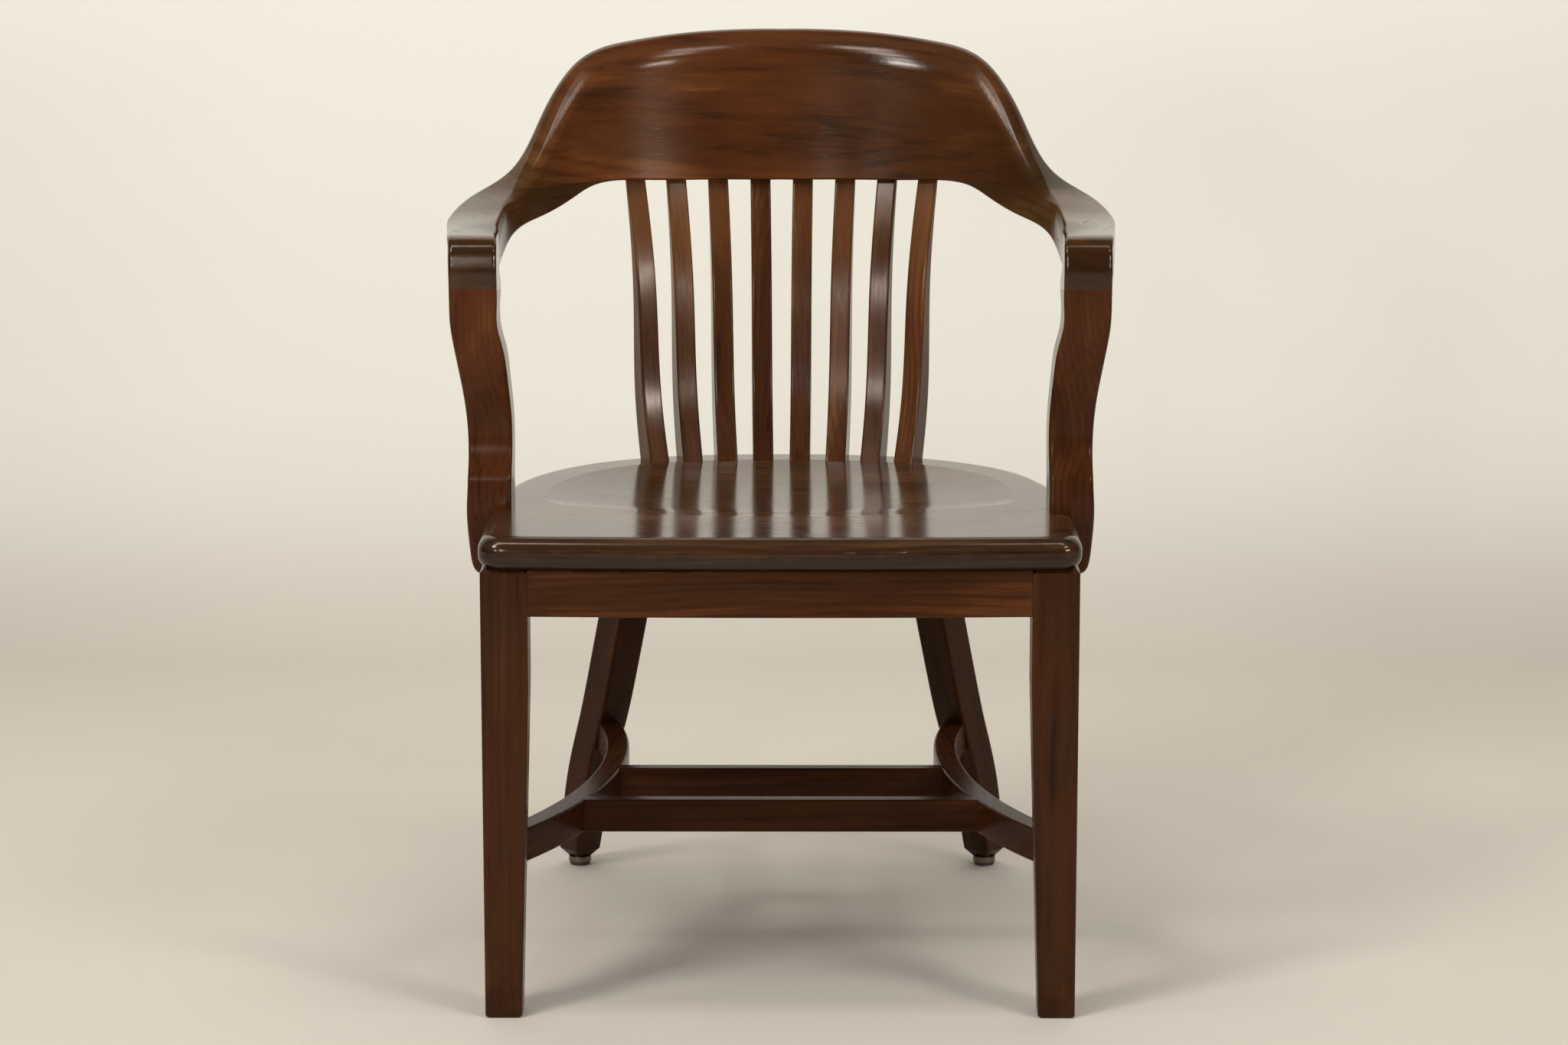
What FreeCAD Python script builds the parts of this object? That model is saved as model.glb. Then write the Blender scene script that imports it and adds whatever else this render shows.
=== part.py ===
"""Bankers armchair in walnut: a saddled seat on a hooped frame, with eight slats under a bent crest.

Working frame, millimetres: X to the sitter's left or right, Y from the front legs to the back, Z up
from the floor. The finished pieces are moved so that the origin is under the middle of the chair.
"""

import FreeCAD, Part
import math
import os

V = FreeCAD.Vector
UP = V(0, 0, 1)

# Seat board, glued up from planks that run from side to side
SEAT_TOP = 445.0
SEAT_THICKNESS = 30.0
SEAT_HALF_WIDTH = 270.0
SEAT_OVERHANG = 8.0
SEAT_FRONT_BOW = 6.0
SEAT_CORNER_RADIUS = 22.0
SEAT_STRAIGHT_END = 165.0
SEAT_BACK = 465.0
SEAT_BACK_SQUARENESS = 2.5
SEAT_TOP_ROLL = 13.5
SEAT_BOTTOM_ROLL = 11.5
SEAT_BOARD_COUNT = 5
SEAT_DOWEL_DIAMETER = 8.0
SEAT_DOWEL_LENGTH = 40.0
SEAT_DOWELS_PER_JOINT = 4
SEAT_DOWEL_SPREAD = 330.0

# Saddle worked into the top of the seat
SADDLE_DEPTH = 11.0
SADDLE_SIDE_RIM = 49.0
SADDLE_CENTRE_Y = 200.0
SADDLE_BACK_REACH = 220.0
SADDLE_FRONT_REACH = 125.0
SADDLE_POMMEL_SETBACK = 22.0
SADDLE_SQUARENESS = 2.5
SADDLE_FRONT_SLOPE = 0.03
SADDLE_STEPS = 26

# Front legs, their two inner faces tapered below a square top
FRONT_LEG_SETBACK = 2.0
FRONT_LEG_TOP_SIZE = 42.5
FRONT_LEG_FOOT_SIZE = 33.5
FRONT_LEG_TAPER_TOP = 310.0
LEG_EDGE_RADIUS = 3.0
LEG_JOINT_EDGE_RADIUS = 0.3
LEG_ROUNDING_RUN_OUT = 4.0
LEG_TOP_EASING = 3.0
LEG_FOOT_EASING = 2.0

# Rear legs, swept out and back in a sabre curve, square in section and turned towards the seat
REAR_LEG_TURN = 40.0
REAR_LEG_TOP_SPACING = 135.0
REAR_LEG_TOP_Y = 385.0
REAR_LEG_SPLAY = 74.5
REAR_LEG_RAKE = 155.0
REAR_LEG_TOP_SIZE = 36.5
REAR_LEG_FOOT_SIZE = 31.0
REAR_LEG_FOOT_EASING = 6.5
REAR_LEG_FOOT_EASING_HEIGHT = 8.0
# share of the leg's height from its top, of its splay, of its rake and of its taper
REAR_LEG_SWEEP = (
    (0.0, 0.0, 0.0, 0.0), (0.16, 0.154, 0.123, 0.0), (0.32, 0.311, 0.265, 0.0), (0.47, 0.468, 0.42, 0.0),
    (0.607, 0.624, 0.58, 0.05), (0.728, 0.785, 0.73, 0.27), (0.851, 0.906, 0.862, 0.6),
    (0.93, 0.962, 0.94, 0.82), (1.0, 1.0, 1.0, 1.0),
)

# Nailed glides under the rear legs
GLIDE_HEIGHT = 9.5
GLIDE_DIAMETER = 23.0
GLIDE_CUP_HEIGHT = 5.5
GLIDE_CUP_WALL = 1.2
GLIDE_NAIL_DIAMETER = 3.0
GLIDE_NAIL_LENGTH = 22.0
GLIDE_NAIL_HEAD_DIAMETER = 8.0
GLIDE_NAIL_HEAD_HEIGHT = 1.2

# Seat frame: four rails under the seat board
RAIL_HEIGHT = 43.0
FRONT_RAIL_THICKNESS = 22.0
FRONT_RAIL_SETBACK = 0.8
FRONT_RAIL_BOW = 5.0
RAIL_EDGE_RADIUS = 2.0
SIDE_RAIL_THICKNESS = 20.0
HOOP_RAIL_RUN = 26.0
DOWEL_DIAMETER = 9.0
DOWEL_LENGTH = 28.0
RAIL_DOWEL_SPACING = 20.0

# Corner blocks behind the front legs, and the wood screws
BLOCK_REACH = 94.0
BLOCK_HEIGHT = 26.0
BLOCK_SCREW_SETBACK = 60.0
BLOCK_SCREW_GRIP = 20.0
BLOCK_SEAT_SCREW_INSET = 32.0
SCREW_BORE_DIAMETER = 10.0
SCREW_DIAMETER = 4.5
SCREW_HEAD_DIAMETER = 8.5
SCREW_HEAD_HEIGHT = 2.6
SCREW_LENGTH = 34.0
SCREW_POINT_LENGTH = 4.5
SCREW_TIP_RADIUS = 0.5
SEAT_SCREW_BITE = 13.0
REAR_SEAT_SCREW_SPACING = 90.0
SIDE_SEAT_SCREW_Y = 105.0

# Stretchers: two bent ones from front to back, joined by two straight ones
STRETCHER_BOTTOM = 138.0
STRETCHER_HEIGHT = 31.0
STRETCHER_EDGE_RADIUS = 2.0
SIDE_STRETCHER_WIDTH = 22.0
SIDE_STRETCHER_WAIST = 161.0
SIDE_STRETCHER_WAIST_Y = 345.0
SIDE_STRETCHER_FRONT_RADIUS = 635.0
SIDE_STRETCHER_REAR_RADIUS = 492.0
SIDE_STRETCHER_REAR_SETBACK = 14.0
SIDE_STRETCHER_HOUSING = 11.0
CROSS_STRETCHER_WIDTH = 16.0
CROSS_STRETCHER_FRONT_Y = 148.0
CROSS_STRETCHER_REAR_Y = 272.0
STRETCHER_TENON_DIAMETER = 14.0
STRETCHER_TENON_LENGTH = 16.0
CROSS_TENON_DIAMETER = 10.0
CROSS_TENON_LENGTH = 12.0

# Crest rail and arms: one flowing hoop, seen from above as a squarish half ellipse
HOOP_INSET = 7.0
HOOP_CENTRE_Y = 224.0
HOOP_BACK_Y = 463.0
HOOP_SQUARENESS = 2.13
CREST_LEAN = 9.5
CREST_HEIGHT = 146.0
CREST_RISE = 65.0
CREST_THICKNESS = 26.0
CREST_BACK_ROLL = 7.0
ARM_NOSE_HEIGHT = 47.0
ARM_JOINT_HEIGHT = 653.0
ARM_EDGE_RADIUS = 4.0
CREST_JOINT_RISE = 4.0
CREST_JOINT_INSIDE = 168.0
CREST_DOWEL_ANGLES = (52.5, 58.5)
CREST_DOWEL_DIAMETER = 8.0
CREST_DOWEL_LENGTH = 24.0

# front roll at the top: its drop, its reach and the radii of its two turns, on the crest and on the arm
CREST_FRONT_ROLL = (20.0, 11.0, 38.0, 12.0)
ARM_FRONT_ROLL = (2.2, 2.2, 3.4, 3.4)

# Hoop profiles by degrees round from the middle of the crest, as shares of the named sizes
HOOP_ANGLES = (-8, 0, 8, 16, 24, 31, 37, 43, 48, 53, 58, 63, 68, 73, 78, 84, 90)
TOP_SHARE = (
    (0, 1.0), (12, 0.994), (24, 0.965), (32, 0.936), (38, 0.904), (44, 0.83), (50, 0.68),
    (55, 0.505), (60, 0.335), (66, 0.165), (72, 0.085), (78, 0.035), (84, 0.01), (90, 0.0),
)
BOTTOM_SHARE = (
    (0, 1.0), (24, 1.02), (36, 1.05), (42, 1.01), (48, 0.86), (54, 0.715), (60, 0.625),
    (66, 0.565), (72, 0.48), (78, 0.345), (84, 0.19), (90, 0.08),
)
# millimetres: fall of the outer top edge, lean-out of the inner face, and width added outwards
OUTER_FALL = (
    (0, 0.0), (44, 0.0), (50, 2.5), (55, 5.0), (60, 7.0), (66, 5.0), (72, 3.0), (80, 1.0), (90, 0.0),
)
INNER_FLARE = (
    (0, 0.0), (54, 0.0), (60, 2.0), (66, 6.5), (72, 9.5), (78, 7.0), (84, 3.0), (90, 0.5),
)
OUTER_SPREAD = (
    (0, 0.0), (44, 0.0), (58, 0.0), (61, 1.5), (64, 13.5), (67, 26.0), (72, 31.0), (78, 30.0),
    (84, 26.5), (90, 22.0),
)
ROLL_SHARE = ((0, 1.0), (50, 1.0), (62, 0.55), (72, 0.0), (90, 0.0))
LEAN_SHARE = ((0, 1.0), (48, 1.0), (76, 0.0), (90, 0.0))

# Arm posts: the arm turns down round a crook, and the post swings in to lap the side rail
CROOK_Y = 180.0
CROOK_DROP = 9.0
CROOK_RADIUS = 11.0
# millimetres forward of the crook's centre and down from the arm's top
NOSE_OUTLINE = (
    (2.0, 0.0), (22.0, 0.0), (40.0, 0.0), (51.0, 0.5), (59.5, 3.0), (65.6, 8.4),
    (68.6, 15.5), (69.6, 23.0), (70.2, 30.5), (69.4, 38.0), (68.0, 47.0), (66.7, 57.0),
)
NOSE_TURN_END = 5
ARM_INSET = 3.2
NOSE_INSET = 5.4
ARM_WIDTH = 47.2
NOSE_WIDTH = 43.9
POST_INSET = 22.0
POST_FRONT_Y = 144.0
# share of the height from the seat to the arm joint, then millimetres: forward, depth, outwards, width
POST_UPPER = (
    (0.836, 27.5, 49.8, 10.0, 43.0), (0.716, 22.0, 45.2, 4.7, 44.9), (0.6, 14.0, 42.6, 2.1, 43.7),
    (0.48, 6.0, 41.0, 0.2, 42.1), (0.36, 0.8, 41.0, -0.8, 41.1), (0.27, 1.6, 43.6, -0.8, 40.5),
    (0.19, 6.4, 49.2, -0.5, 40.3), (0.14, 9.6, 53.4, -0.2, 40.4), (0.1, 10.2, 55.0, 0.0, 40.5),
)
# millimetres: drop from the seat's top, set back, depth and width
POST_TAIL = (
    (0.0, -9.4, 56.4, 41.5), (20.0, -4.0, 53.0, 41.2), (41.0, 2.6, 47.8, 39.8),
    (53.0, 5.0, 45.6, 38.2), (59.0, 5.6, 44.2, 35.8), (62.0, 6.5, 42.5, 32.8),
)
POST_DOWEL_SPACING = 24.0
POST_SCREW_DROPS = (40.0, 53.0)

# Slats
SLAT_COUNT = 8
SLAT_WIDTH = 20.0
SLAT_FOOT_DEPTH = 27.0
SLAT_HEAD_DEPTH = 6.0
SLAT_EDGE_RADIUS = 2.0
SLAT_SWAY = 5.0
SLAT_SWAY_SINK = 0.045
SLAT_FOOT_SPREAD = 125.0
SLAT_HEAD_SPREAD = 138.0
SLAT_FAN = 26.0
SLAT_FOOT_Y = 428.0
SLAT_FOOT_BOW = 15.0
SLAT_TENON_WIDTH = 14.0
SLAT_SEAT_TENON_DEPTH = 14.0
SLAT_SEAT_TENON_LENGTH = 18.0
SLAT_CREST_TENON_DEPTH = 5.0
SLAT_CREST_TENON_LENGTH = 16.0
SLAT_TENON_EDGE_RADIUS = 1.0
SLAT_STATIONS = 11
SLAT_OVERRUN = 9.0

FIT_CLEARANCE = 0.15
BEYOND = 1000.0

SEAT_UNDERSIDE = SEAT_TOP - SEAT_THICKNESS
RAIL_BOTTOM = SEAT_UNDERSIDE - RAIL_HEIGHT
RAIL_MIDDLE = SEAT_UNDERSIDE - RAIL_HEIGHT / 2
STRETCHER_TOP = STRETCHER_BOTTOM + STRETCHER_HEIGHT
STRETCHER_MIDDLE = STRETCHER_BOTTOM + STRETCHER_HEIGHT / 2
SADDLE_HALF_WIDTH = SEAT_HALF_WIDTH - SADDLE_SIDE_RIM
FRONT_LEG_OUTSIDE = SEAT_HALF_WIDTH - FRONT_LEG_SETBACK
POST_FACE = SEAT_HALF_WIDTH - POST_INSET
SIDE_RAIL_LINE = POST_FACE - SIDE_RAIL_THICKNESS / 2
HOOP_HALF_WIDTH = SEAT_HALF_WIDTH - HOOP_INSET
ARM_INSIDE = HOOP_HALF_WIDTH - ARM_INSET
NOSE_INSIDE = HOOP_HALF_WIDTH - NOSE_INSET
ARM_TOP = ARM_JOINT_HEIGHT + ARM_NOSE_HEIGHT
CREST_BOTTOM = ARM_JOINT_HEIGHT + CREST_RISE
CREST_TOP = CREST_BOTTOM + CREST_HEIGHT
CREST_JOINT_HEIGHT = CREST_BOTTOM + CREST_JOINT_RISE
CROOK_Z = ARM_JOINT_HEIGHT - CROOK_DROP


def rounded_wire(origin, across, along, corners, radii):
    """Closed wire of lines and arcs through rounded corners, given in a plane's own two directions."""
    count = len(corners)
    starts, middles, ends = [], [], []
    for index in range(count):
        corner = V(*corners[index], 0)
        back = V(*corners[index - 1], 0) - corner
        ahead = V(*corners[(index + 1) % count], 0) - corner
        half_angle = back.getAngle(ahead) / 2
        run = radii[index] / math.tan(half_angle)
        back.normalize()
        ahead.normalize()
        bisector = back + ahead
        bisector.normalize()
        depth = radii[index] / math.sin(half_angle) - radii[index]
        starts.append(corner + back * run)
        middles.append(corner + bisector * depth)
        ends.append(corner + ahead * run)

    def place(point):
        return origin + across * point.x + along * point.y

    edges = []
    for index in range(count):
        arc = Part.Arc(place(starts[index]), place(middles[index]), place(ends[index]))
        edges.append(arc.toShape())
        following = starts[(index + 1) % count]
        edges.append(Part.LineSegment(place(ends[index]), place(following)).toShape())
    return Part.Wire(edges)


def oblong_wire(centre, across, along, width, depth, radius):
    """Rounded oblong about a centre."""
    x, y = width / 2, depth / 2
    corners = ((-x, -y), (x, -y), (x, y), (-x, y))
    return rounded_wire(centre, across, along, corners, (radius,) * 4)


def box_between(low, high):
    """Box from its lowest corner to its highest."""
    return Part.makeBox(high[0] - low[0], high[1] - low[1], high[2] - low[2], V(*low))


def rod(middle, direction, diameter, length):
    """Round rod about its middle."""
    return Part.makeCylinder(diameter / 2, length, middle - direction * (length / 2), direction)


def mirrored(shape):
    """The same piece on the other side of the chair."""
    return shape.mirror(V(0, 0, 0), V(1, 0, 0))


def both_sides(shapes):
    """Left pieces with their mirror images."""
    return list(shapes) + [mirrored(shape) for shape in shapes]


def cut_by(shape, tools):
    """Piece cut by those shapes that reach it."""
    reaching = [tool for tool in tools if shape.BoundBox.intersect(tool.BoundBox)]
    return shape.cut(reaching) if reaching else shape


def level(angle):
    """Level direction at an angle in degrees, from +X towards +Y."""
    return V(math.cos(math.radians(angle)), math.sin(math.radians(angle)), 0)


def blend(place, points):
    """Smooth value at a place among hand-picked (place, value) points, level at both ends."""
    places = [point[0] for point in points]
    values = [point[1] for point in points]
    slopes = [0.0] * len(points)
    for index in range(1, len(points) - 1):
        slopes[index] = (values[index + 1] - values[index - 1]) / (places[index + 1] - places[index - 1])
    index = max(i for i in range(len(points) - 1) if places[i] <= place)
    span = places[index + 1] - places[index]
    s = (place - places[index]) / span
    from_low = values[index] * (1 + 2 * s) * (1 - s) ** 2 + values[index + 1] * s * s * (3 - 2 * s)
    from_slopes = slopes[index] * s * (1 - s) ** 2 - slopes[index + 1] * s * s * (1 - s)
    return from_low + span * from_slopes


def between(low, high, share):
    """Value part of the way from one size to another."""
    return low + (high - low) * share


def hoop_point(angle):
    """Place on the hoop's inner lower edge in plan, and its outward direction."""
    power = 2 / HOOP_SQUARENESS
    grade = HOOP_SQUARENESS - 1
    depth = HOOP_BACK_Y - HOOP_CENTRE_Y
    side = -1 if angle >= 0 else 1
    across = abs(math.sin(math.radians(angle))) ** power
    along = abs(math.cos(math.radians(angle))) ** power
    point = V(side * HOOP_HALF_WIDTH * across, HOOP_CENTRE_Y + depth * along, 0)
    outward = V(side * across ** grade / HOOP_HALF_WIDTH, along ** grade / depth, 0)
    outward.normalize()
    return point, outward


def hoop_bottom(angle):
    """Height of the hoop's lower edge."""
    return between(ARM_JOINT_HEIGHT, CREST_BOTTOM, blend(abs(angle), BOTTOM_SHARE))


def rolled_section(inner_top, outer_top, width, roll, back_roll):
    """Corners and radii of a section of crest, arm or post, whose inner top edge rolls over in two turns."""
    drop, reach, low_radius, top_radius = [
        between(arm, crest, roll) for arm, crest in zip(ARM_FRONT_ROLL, CREST_FRONT_ROLL)
    ]
    peak, far = V(*inner_top, 0), V(*outer_top, 0)
    low = peak * (1 - drop / peak.Length)
    high = peak + (far - peak) * (reach / (far - peak).Length)
    corners = ((0, 0), (low.x, low.y), (high.x, high.y), outer_top, (width, 0))
    back_radius = between(ARM_EDGE_RADIUS, back_roll, roll)
    return corners, (ARM_EDGE_RADIUS / 2, low_radius, top_radius, back_radius, ARM_EDGE_RADIUS / 2)


def hoop_section(angle):
    """Section of the crest or arm at an angle round the hoop."""
    point, outward = hoop_point(angle)
    place = abs(angle)
    bottom = hoop_bottom(angle)
    top = between(ARM_TOP, CREST_TOP, blend(place, TOP_SHARE))
    lean = math.radians(CREST_LEAN) * blend(place, LEAN_SHARE)
    axis = V(0, math.sin(lean), math.cos(lean))
    upward = axis - outward * axis.dot(outward)
    upward.normalize()
    run = (top - bottom) / axis.z
    inner_top = (axis.dot(outward) * run + blend(place, INNER_FLARE), axis.dot(upward) * run)
    width = CREST_THICKNESS + blend(place, OUTER_SPREAD)
    fall = blend(place, OUTER_FALL) / upward.z
    outer_top = (axis.dot(outward) * run + width, axis.dot(upward) * run - fall)
    roll = blend(place, ROLL_SHARE)
    corners, radii = rolled_section(inner_top, outer_top, width, roll, CREST_BACK_ROLL)
    return rounded_wire(V(point.x, point.y, bottom), outward, upward, corners, radii)


def nose_section(index):
    """Section that swings round the crook, from the arm down to the post."""
    forward, drop = NOSE_OUTLINE[index]
    crook = V(0, CROOK_Y, CROOK_Z)
    ray = V(0, CROOK_Y - forward, ARM_TOP - drop) - crook
    depth = ray.Length - CROOK_RADIUS
    ray.normalize()
    share = min(1.0, index / NOSE_TURN_END)
    inside = between(ARM_INSIDE, NOSE_INSIDE, share)
    width = between(ARM_WIDTH, NOSE_WIDTH, share)
    start = V(-inside, crook.y, crook.z) + ray * CROOK_RADIUS
    corners, radii = rolled_section((0, depth), (width, depth), width, 0, 0)
    return rounded_wire(start, V(-1, 0, 0), ray, corners, radii)


def post_section(height, front, depth, inside, width):
    """Level section of the post."""
    corners, radii = rolled_section((0, depth), (width, depth), width, 0, 0)
    return rounded_wire(V(-inside, front + depth, height), V(-1, 0, 0), V(0, -1, 0), corners, radii)


def half_hoop():
    """Left half of the crest with its arm and post as one flowing form, before it is cut apart."""
    wires = [hoop_section(angle) for angle in HOOP_ANGLES]
    wires += [nose_section(index) for index in range(len(NOSE_OUTLINE))]
    for share, forward, depth, outwards, width in POST_UPPER:
        height = between(SEAT_TOP, ARM_JOINT_HEIGHT, share)
        wires.append(post_section(height, POST_FRONT_Y - forward, depth, POST_FACE + outwards, width))
    for drop, setback, depth, width in POST_TAIL:
        wires.append(post_section(SEAT_TOP - drop, POST_FRONT_Y + setback, depth, POST_FACE, width))
    return Part.makeLoft(wires, True, False)


def under_arm_joint():
    """Space under the joint of arm and post, which runs from the nose square into the crook."""
    space = box_between((-BEYOND, -BEYOND, -BEYOND), (0, BEYOND, CROOK_Z))
    slope = math.degrees(math.atan2(CROOK_DROP, NOSE_OUTLINE[-2][0]))
    space.rotate(V(0, CROOK_Y, CROOK_Z), V(1, 0, 0), -slope)
    return space


def crest_arm_and_post():
    """Crest rail, left arm and left post, cut from the hoop at their glue joints."""
    half = half_hoop().common(box_between((-BEYOND, -BEYOND, 0), (0, BEYOND, BEYOND)))
    under = under_arm_joint()
    post = half.common(under)
    beside = box_between((-BEYOND, -BEYOND, 0), (-CREST_JOINT_INSIDE, BEYOND, CREST_JOINT_HEIGHT))
    upper = half.cut(under)
    arm = upper.common(beside)
    crest_half = upper.cut(beside)
    crest = crest_half.fuse(mirrored(crest_half))
    seat_zone = box_between((-POST_FACE, -BEYOND, 0), (0, BEYOND, SEAT_TOP))
    return crest, arm, post.cut(seat_zone)


def slat_frame(index):
    """Foot, head and outward direction of one slat."""
    fan = math.radians(SLAT_FAN)
    place = math.sin(fan * (2 * index / (SLAT_COUNT - 1) - 1)) / math.sin(fan)
    reach = abs(place) * SLAT_HEAD_SPREAD / HOOP_HALF_WIDTH
    angle = math.degrees(math.asin(reach ** (HOOP_SQUARENESS / 2)))
    point, outward = hoop_point(-angle if place > 0 else angle)
    head = point + outward * (CREST_THICKNESS / 2) + UP * hoop_bottom(angle)
    foot = V(place * SLAT_FOOT_SPREAD, SLAT_FOOT_Y - SLAT_FOOT_BOW * place * place, SEAT_TOP)
    return foot, head, outward


def slat_centre(foot, head, outward, share):
    """Point on the slat's gently waved centre line, whose wave sits a little low."""
    wave = share + SLAT_SWAY_SINK * math.sin(math.pi * share)
    return foot + (head - foot) * share + outward * (SLAT_SWAY * math.sin(2 * math.pi * wave))


def slat_body(index):
    """One slat, a little too long at both ends."""
    foot, head, outward = slat_frame(index)
    across = outward.cross(UP)
    overrun = SLAT_OVERRUN / (head - foot).Length
    wires = []
    for station in range(SLAT_STATIONS):
        share = between(-overrun, 1 + overrun, station / (SLAT_STATIONS - 1))
        centre = slat_centre(foot, head, outward, share)
        depth = between(SLAT_FOOT_DEPTH, SLAT_HEAD_DEPTH, share)
        wires.append(oblong_wire(centre, across, outward, SLAT_WIDTH, depth, SLAT_EDGE_RADIUS))
    return Part.makeLoft(wires, True, False)


def slat_tenons(index, clearance):
    """Tenons at a slat's foot and head, or with clearance the mortises for them."""
    foot, head, outward = slat_frame(index)
    across = outward.cross(UP)
    width = SLAT_TENON_WIDTH + 2 * clearance
    run_out = SLAT_OVERRUN / (head.z - foot.z)
    slope = (slat_centre(foot, head, outward, 1 + run_out) - head) * (1 / SLAT_OVERRUN)
    ends = (
        (foot, -UP, SLAT_SEAT_TENON_LENGTH, SLAT_SEAT_TENON_DEPTH),
        (head, slope, SLAT_CREST_TENON_LENGTH, SLAT_CREST_TENON_DEPTH),
    )
    tenons = []
    for end, direction, length, depth in ends:
        places = (end - direction * SLAT_OVERRUN, end + direction * (length + clearance))
        wires = [
            oblong_wire(place, across, outward, width, depth + 2 * clearance, SLAT_TENON_EDGE_RADIUS)
            for place in places
        ]
        tenons.append(Part.makeLoft(wires, True, True))
    return tenons


def seat_outline():
    """Plan outline of the seat, from its bowed front round the squarish back."""
    front = -SEAT_OVERHANG
    side = SEAT_HALF_WIDTH
    radius = SEAT_CORNER_RADIUS
    corner_start = V(-side + radius, front, 0)
    corner_middle = V(-side + radius * (1 - math.sqrt(0.5)), front + radius * (1 - math.sqrt(0.5)), 0)
    corner_end = V(-side, front + radius, 0)
    side_end = V(-side, SEAT_STRAIGHT_END, 0)
    bow = Part.Arc(corner_start, V(0, front - SEAT_FRONT_BOW, 0), V(-corner_start.x, front, 0))
    corner = Part.Arc(corner_start, corner_middle, corner_end)
    edge = Part.LineSegment(corner_end, side_end)
    points = []
    for step in range(13):
        angle = math.radians(-90 + 15 * step)
        across = math.copysign(abs(math.sin(angle)) ** (2 / SEAT_BACK_SQUARENESS), math.sin(angle))
        along = abs(math.cos(angle)) ** (2 / SEAT_BACK_SQUARENESS)
        points.append(V(side * across, between(SEAT_STRAIGHT_END, SEAT_BACK, along), 0))
    back = Part.BSplineCurve()
    back.interpolate(Points=points, InitialTangent=V(0, 1, 0), FinalTangent=V(0, -1, 0))
    left = [corner.toShape(), edge.toShape()]
    return Part.Wire(Part.sortEdges([bow.toShape(), back.toShape()] + both_sides(left))[0])


def saddle_depth(x, y):
    """Depth of the saddle under the seat's rim, below zero outside it."""
    across = (abs(x) / SADDLE_HALF_WIDTH) ** SADDLE_SQUARENESS
    if y >= SADDLE_CENTRE_Y:
        return SADDLE_DEPTH * (1 - ((y - SADDLE_CENTRE_Y) / SADDLE_BACK_REACH) ** SADDLE_SQUARENESS - across)
    setback = SADDLE_POMMEL_SETBACK * math.cos(math.pi * x / SEAT_HALF_WIDTH / 2) ** 6
    place = (SADDLE_CENTRE_Y - y) / (SADDLE_FRONT_REACH - setback)
    fade = (1 + math.cos(math.pi * min(place, 1.0))) / 2 - SADDLE_FRONT_SLOPE * place * place
    return SADDLE_DEPTH * (fade - across)


def saddle_tool():
    """Block above the saddle, whose lower face is the saddle."""
    steps = SADDLE_STEPS
    side = SEAT_HALF_WIDTH + SEAT_CORNER_RADIUS
    rows = []
    for row in range(steps + 1):
        y = between(-2 * SEAT_OVERHANG, SEAT_BACK + SEAT_CORNER_RADIUS, row / steps)
        xs = [between(-side, side, column / steps) for column in range(steps + 1)]
        rows.append([V(x, y, SEAT_TOP - saddle_depth(x, y)) for x in xs])
    surface = Part.BSplineSurface()
    surface.interpolate(rows)
    return surface.toShape().extrude(UP * (4 * SEAT_THICKNESS))


def whole_seat():
    """Seat with rolled edges and its saddle, before it is parted into boards."""
    blank = Part.Face(seat_outline()).extrude(UP * SEAT_THICKNESS)
    blank.translate(UP * SEAT_UNDERSIDE)
    for height, roll in ((SEAT_TOP, SEAT_TOP_ROLL), (SEAT_UNDERSIDE, SEAT_BOTTOM_ROLL)):
        rim = [
            edge
            for edge in blank.Edges
            if abs(edge.CenterOfMass.z - height) < FIT_CLEARANCE and edge.BoundBox.ZLength < FIT_CLEARANCE
        ]
        blank = blank.makeFillet(roll, rim)
    return blank.cut(saddle_tool())


def board_lines():
    """Glue lines between the seat boards, from the front."""
    front = -SEAT_OVERHANG - SEAT_FRONT_BOW
    return [between(front, SEAT_BACK, share / SEAT_BOARD_COUNT) for share in range(1, SEAT_BOARD_COUNT)]


def seat_boards(seat):
    """Seat parted into its boards."""
    lines = [-BEYOND] + board_lines() + [BEYOND]
    slices = [box_between((-BEYOND, low, 0), (BEYOND, high, BEYOND)) for low, high in zip(lines, lines[1:])]
    return [seat.common(piece) for piece in slices]


def seat_dowels():
    """Dowels across the glue lines between the seat boards."""
    height = between(SEAT_UNDERSIDE, SEAT_TOP - SADDLE_DEPTH, 0.5)
    spacing = SEAT_DOWEL_SPREAD / (SEAT_DOWELS_PER_JOINT - 1)
    places = [step * spacing - SEAT_DOWEL_SPREAD / 2 for step in range(SEAT_DOWELS_PER_JOINT)]
    return [
        rod(V(x, y, height), V(0, 1, 0), SEAT_DOWEL_DIAMETER, SEAT_DOWEL_LENGTH)
        for y in board_lines()
        for x in places
    ]


def leg_size_at(height):
    """Size of a front leg's section at a height."""
    share = min(1.0, height / FRONT_LEG_TAPER_TOP)
    return between(FRONT_LEG_FOOT_SIZE, FRONT_LEG_TOP_SIZE, share)


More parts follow.
